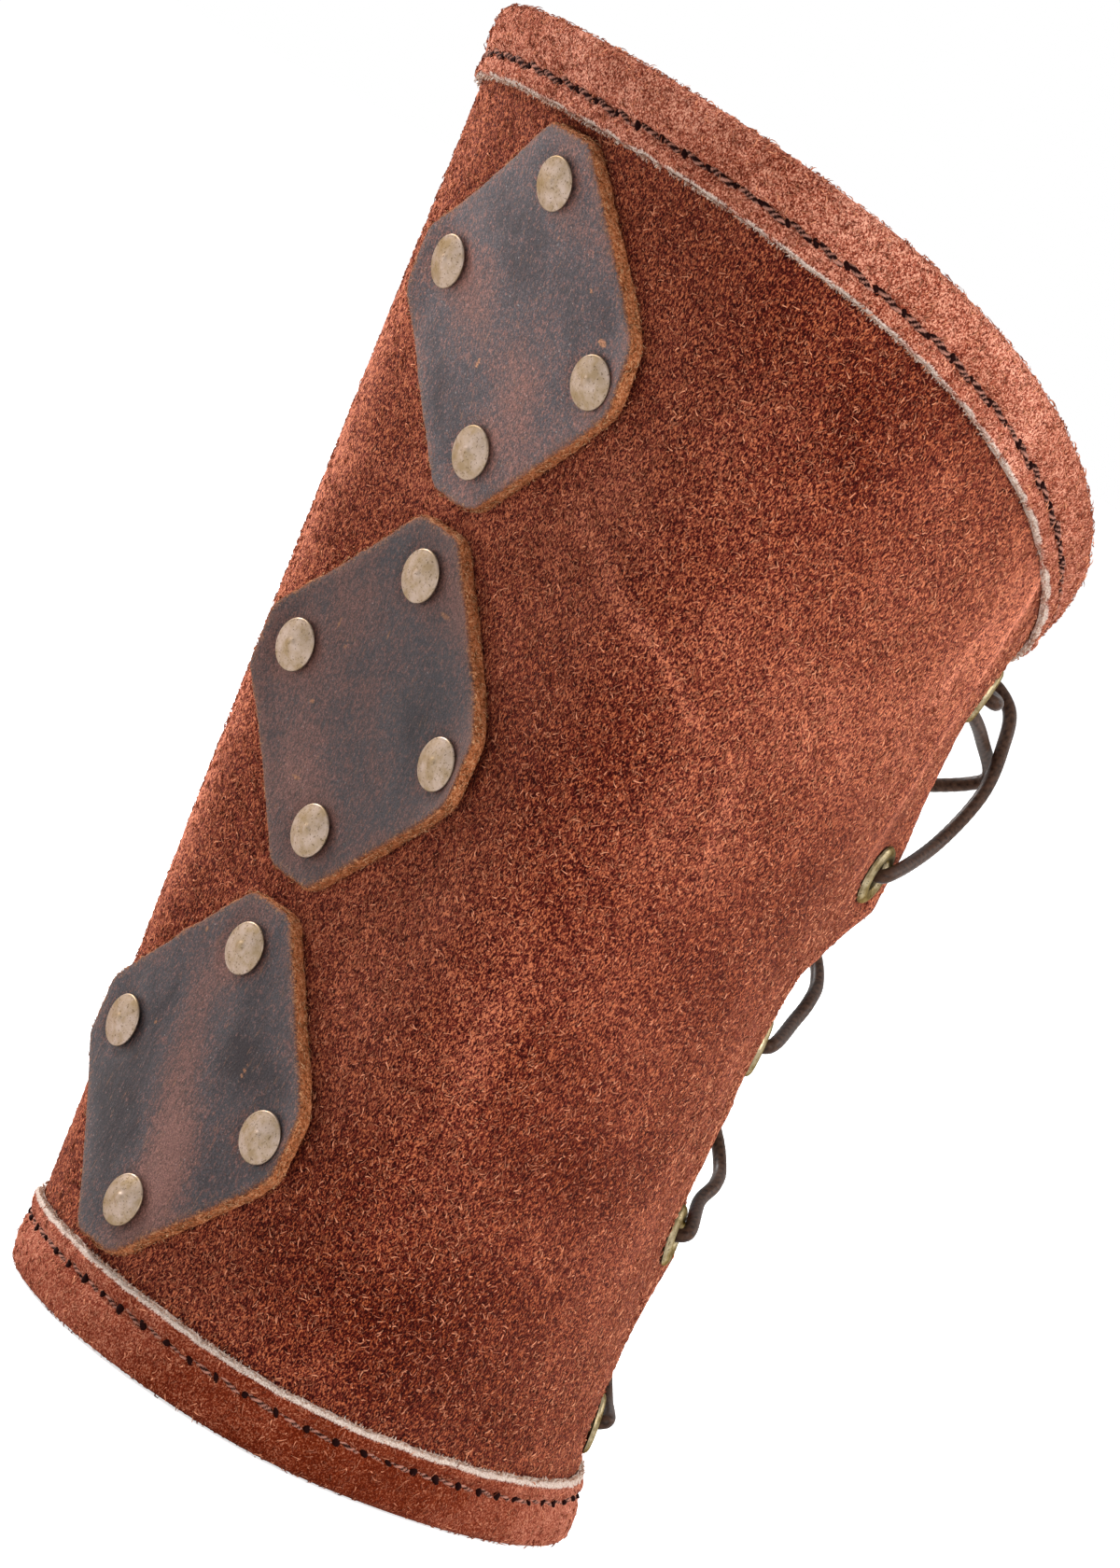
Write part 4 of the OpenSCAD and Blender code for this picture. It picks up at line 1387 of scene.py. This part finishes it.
# Rivet caps: thin pressed discs with a rolled rim, a low dome and a small bump in the middle
capPlan = {
    "radius": 4.5,
    "rim": 0.35,
    "dome": 0.78,
    "roll": 0.32,
    "bump": 0.24,
    "bumpWide": 0.9,
    "shank": 1.8,
    "wall": 0.5,
    "middle": 0.4,  # small flats that close the cap's inside and its bump
    "sides": 64,
}


def makeCap(plate, spot):
    r, sides = capPlan["radius"], capPlan["sides"]
    low = 2 * seat + platePlan["thick"]
    top = low + capPlan["rim"]
    roll, bore = capPlan["roll"], capPlan["shank"] - capPlan["wall"]
    profile = [(capPlan["middle"], top + seat), (bore, top + seat), (bore, -sleeveForm["suede"])]
    profile += [(capPlan["shank"], -sleeveForm["suede"]), (capPlan["shank"], low), (r - 0.3, low)]
    for a in np.radians([-60, -30, 0, 25, 50, 75]):
        profile.append((r - roll + roll * math.cos(a), top + roll * math.sin(a)))
    for x in np.linspace(r - roll - 0.12, capPlan["middle"], 24):
        bump = capPlan["bump"] * math.exp(-((x / capPlan["bumpWide"]) ** 4))
        profile.append((x, top + roll + capPlan["dome"] * (1 - (x / (r - roll)) ** 2) - 0.04 + bump))
    a = 2 * np.pi * np.arange(sides) / sides
    middle, across, up, n = seatOn(*rivetPlace(plate, spot))
    around = np.cos(a)[:, None] * across + np.sin(a)[:, None] * up
    points = np.stack([middle + x * around + height * n for x, height in profile], 1)
    name = "%s_plate_%s_rivet_cap" % (plate["name"], spot[0])
    faces = roundFaces(sides, len(profile))
    makePiece(name + "_disc", points, faces, materials["rivet_brass"], [name])


for plate in plates:
    for spot in rivetSpots:
        makeCap(plate, spot)

# The other metal pieces keep the model's own shapes
for name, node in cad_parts.items():
    if "rivet_post" in name or "eyelet" in name:
        node.data.materials.clear()
        node.data.materials.append(materials["rivet_brass" if "rivet" in name else "eyelet_brass"])
print("metal:", sum("rivet" in n or "eyelet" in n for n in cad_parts))


# Floor and light
studio = {
    "world": 0.36,
    "paperGlow": 0.72,
    "paperHalf": 6,  # m
    "aim": (0, 0, 0.11),
    "lamps": [
        # name, place in m, size in m, power in W
        ("left", (-1.8, -0.5, 1.1), 0.6, 54),
        ("right", (1.8, -0.1, 0.9), 0.9, 24),
        ("back", (0.6, 1.4, 1.1), 1.0, 12),
    ],
}


# 1 for the rays that show the background: from the camera, in metal and through glass
def seenRays(tree):
    rays = add(tree, "LightPath").outputs
    seen = add(tree, "Math", {0: rays["Is Camera Ray"], 1: rays["Is Glossy Ray"]}, operation="MAXIMUM")
    return add(tree, "Math", {0: seen, 1: rays["Is Transmission Ray"]}, operation="MAXIMUM").outputs[0]


def makeStudio():
    floor = bpy.data.meshes.new("floor")
    half = studio["paperHalf"]
    corners = [(x * half, y * half, 0) for x, y in ((-1, -1), (1, -1), (1, 1), (-1, 1))]
    floor.from_pydata(corners, [], [(0, 1, 2, 3)])
    piece = bpy.data.objects.new("floor", floor)
    piece.location = (0, 0, -0.0004)
    bpy.context.scene.collection.objects.link(piece)
    material, tree = newMaterial("white_paper")
    paper = add(tree, "BsdfDiffuse", {"Color": "#f4f4f4"})
    seen = add(tree, "Math", {0: seenRays(tree), 1: studio["paperGlow"]}, operation="MULTIPLY")
    glow = add(tree, "Emission", {"Color": "#ffffff", "Strength": seen})
    lit = add(tree, "AddShader", {0: paper, 1: glow})
    add(tree, "OutputMaterial", {"Surface": lit})
    floor.materials.append(material)
    for name, place, size, power in studio["lamps"]:
        lamp = bpy.data.lights.new(name, "AREA")
        lamp.shape = "DISK"
        lamp.size = size
        lamp.energy = power
        holder = bpy.data.objects.new(name, lamp)
        holder.location = place
        holder.rotation_euler = (Vector(studio["aim"]) - Vector(place)).to_track_quat("-Z", "Y").to_euler()
        bpy.context.scene.collection.objects.link(holder)
    world = bpy.data.worlds.new("studio")
    bpy.context.scene.world = world
    world.use_nodes = True
    tree = world.node_tree
    tree.nodes.clear()
    strength = add(tree, "MapRange", {"Value": seenRays(tree), "To Min": studio["world"], "To Max": 1.0})
    back = add(tree, "Background", {"Color": "#ffffff", "Strength": strength})
    add(tree, "OutputWorld", {"Surface": back})


def makeCamera():
    a, e, r = (math.radians(cameraSetup[key]) for key in ("azimuth", "elevation", "roll"))
    back = Vector((math.sin(a) * math.cos(e), -math.cos(a) * math.cos(e), math.sin(e)))
    right = (-back).cross(Vector((0, 0, 1))).normalized()
    up = right.cross(-back)
    x = math.cos(r) * right + math.sin(r) * up
    y = math.cos(r) * up - math.sin(r) * right
    data = bpy.data.cameras.new("camera")
    data.lens = cameraSetup["lens"]
    data.sensor_width = 36
    data.clip_start, data.clip_end = 0.05, 30
    holder = bpy.data.objects.new("camera", data)
    bpy.context.scene.collection.objects.link(holder)
    turned = Matrix((x, y, back)).transposed().to_4x4()
    holder.matrix_world = Matrix.Translation(Vector(cameraSetup["place"]) * mm) @ turned
    bpy.context.scene.camera = holder


makeStudio()
makeCamera()
bpy.context.scene.view_settings.view_transform = "Standard"
print("studio and camera")
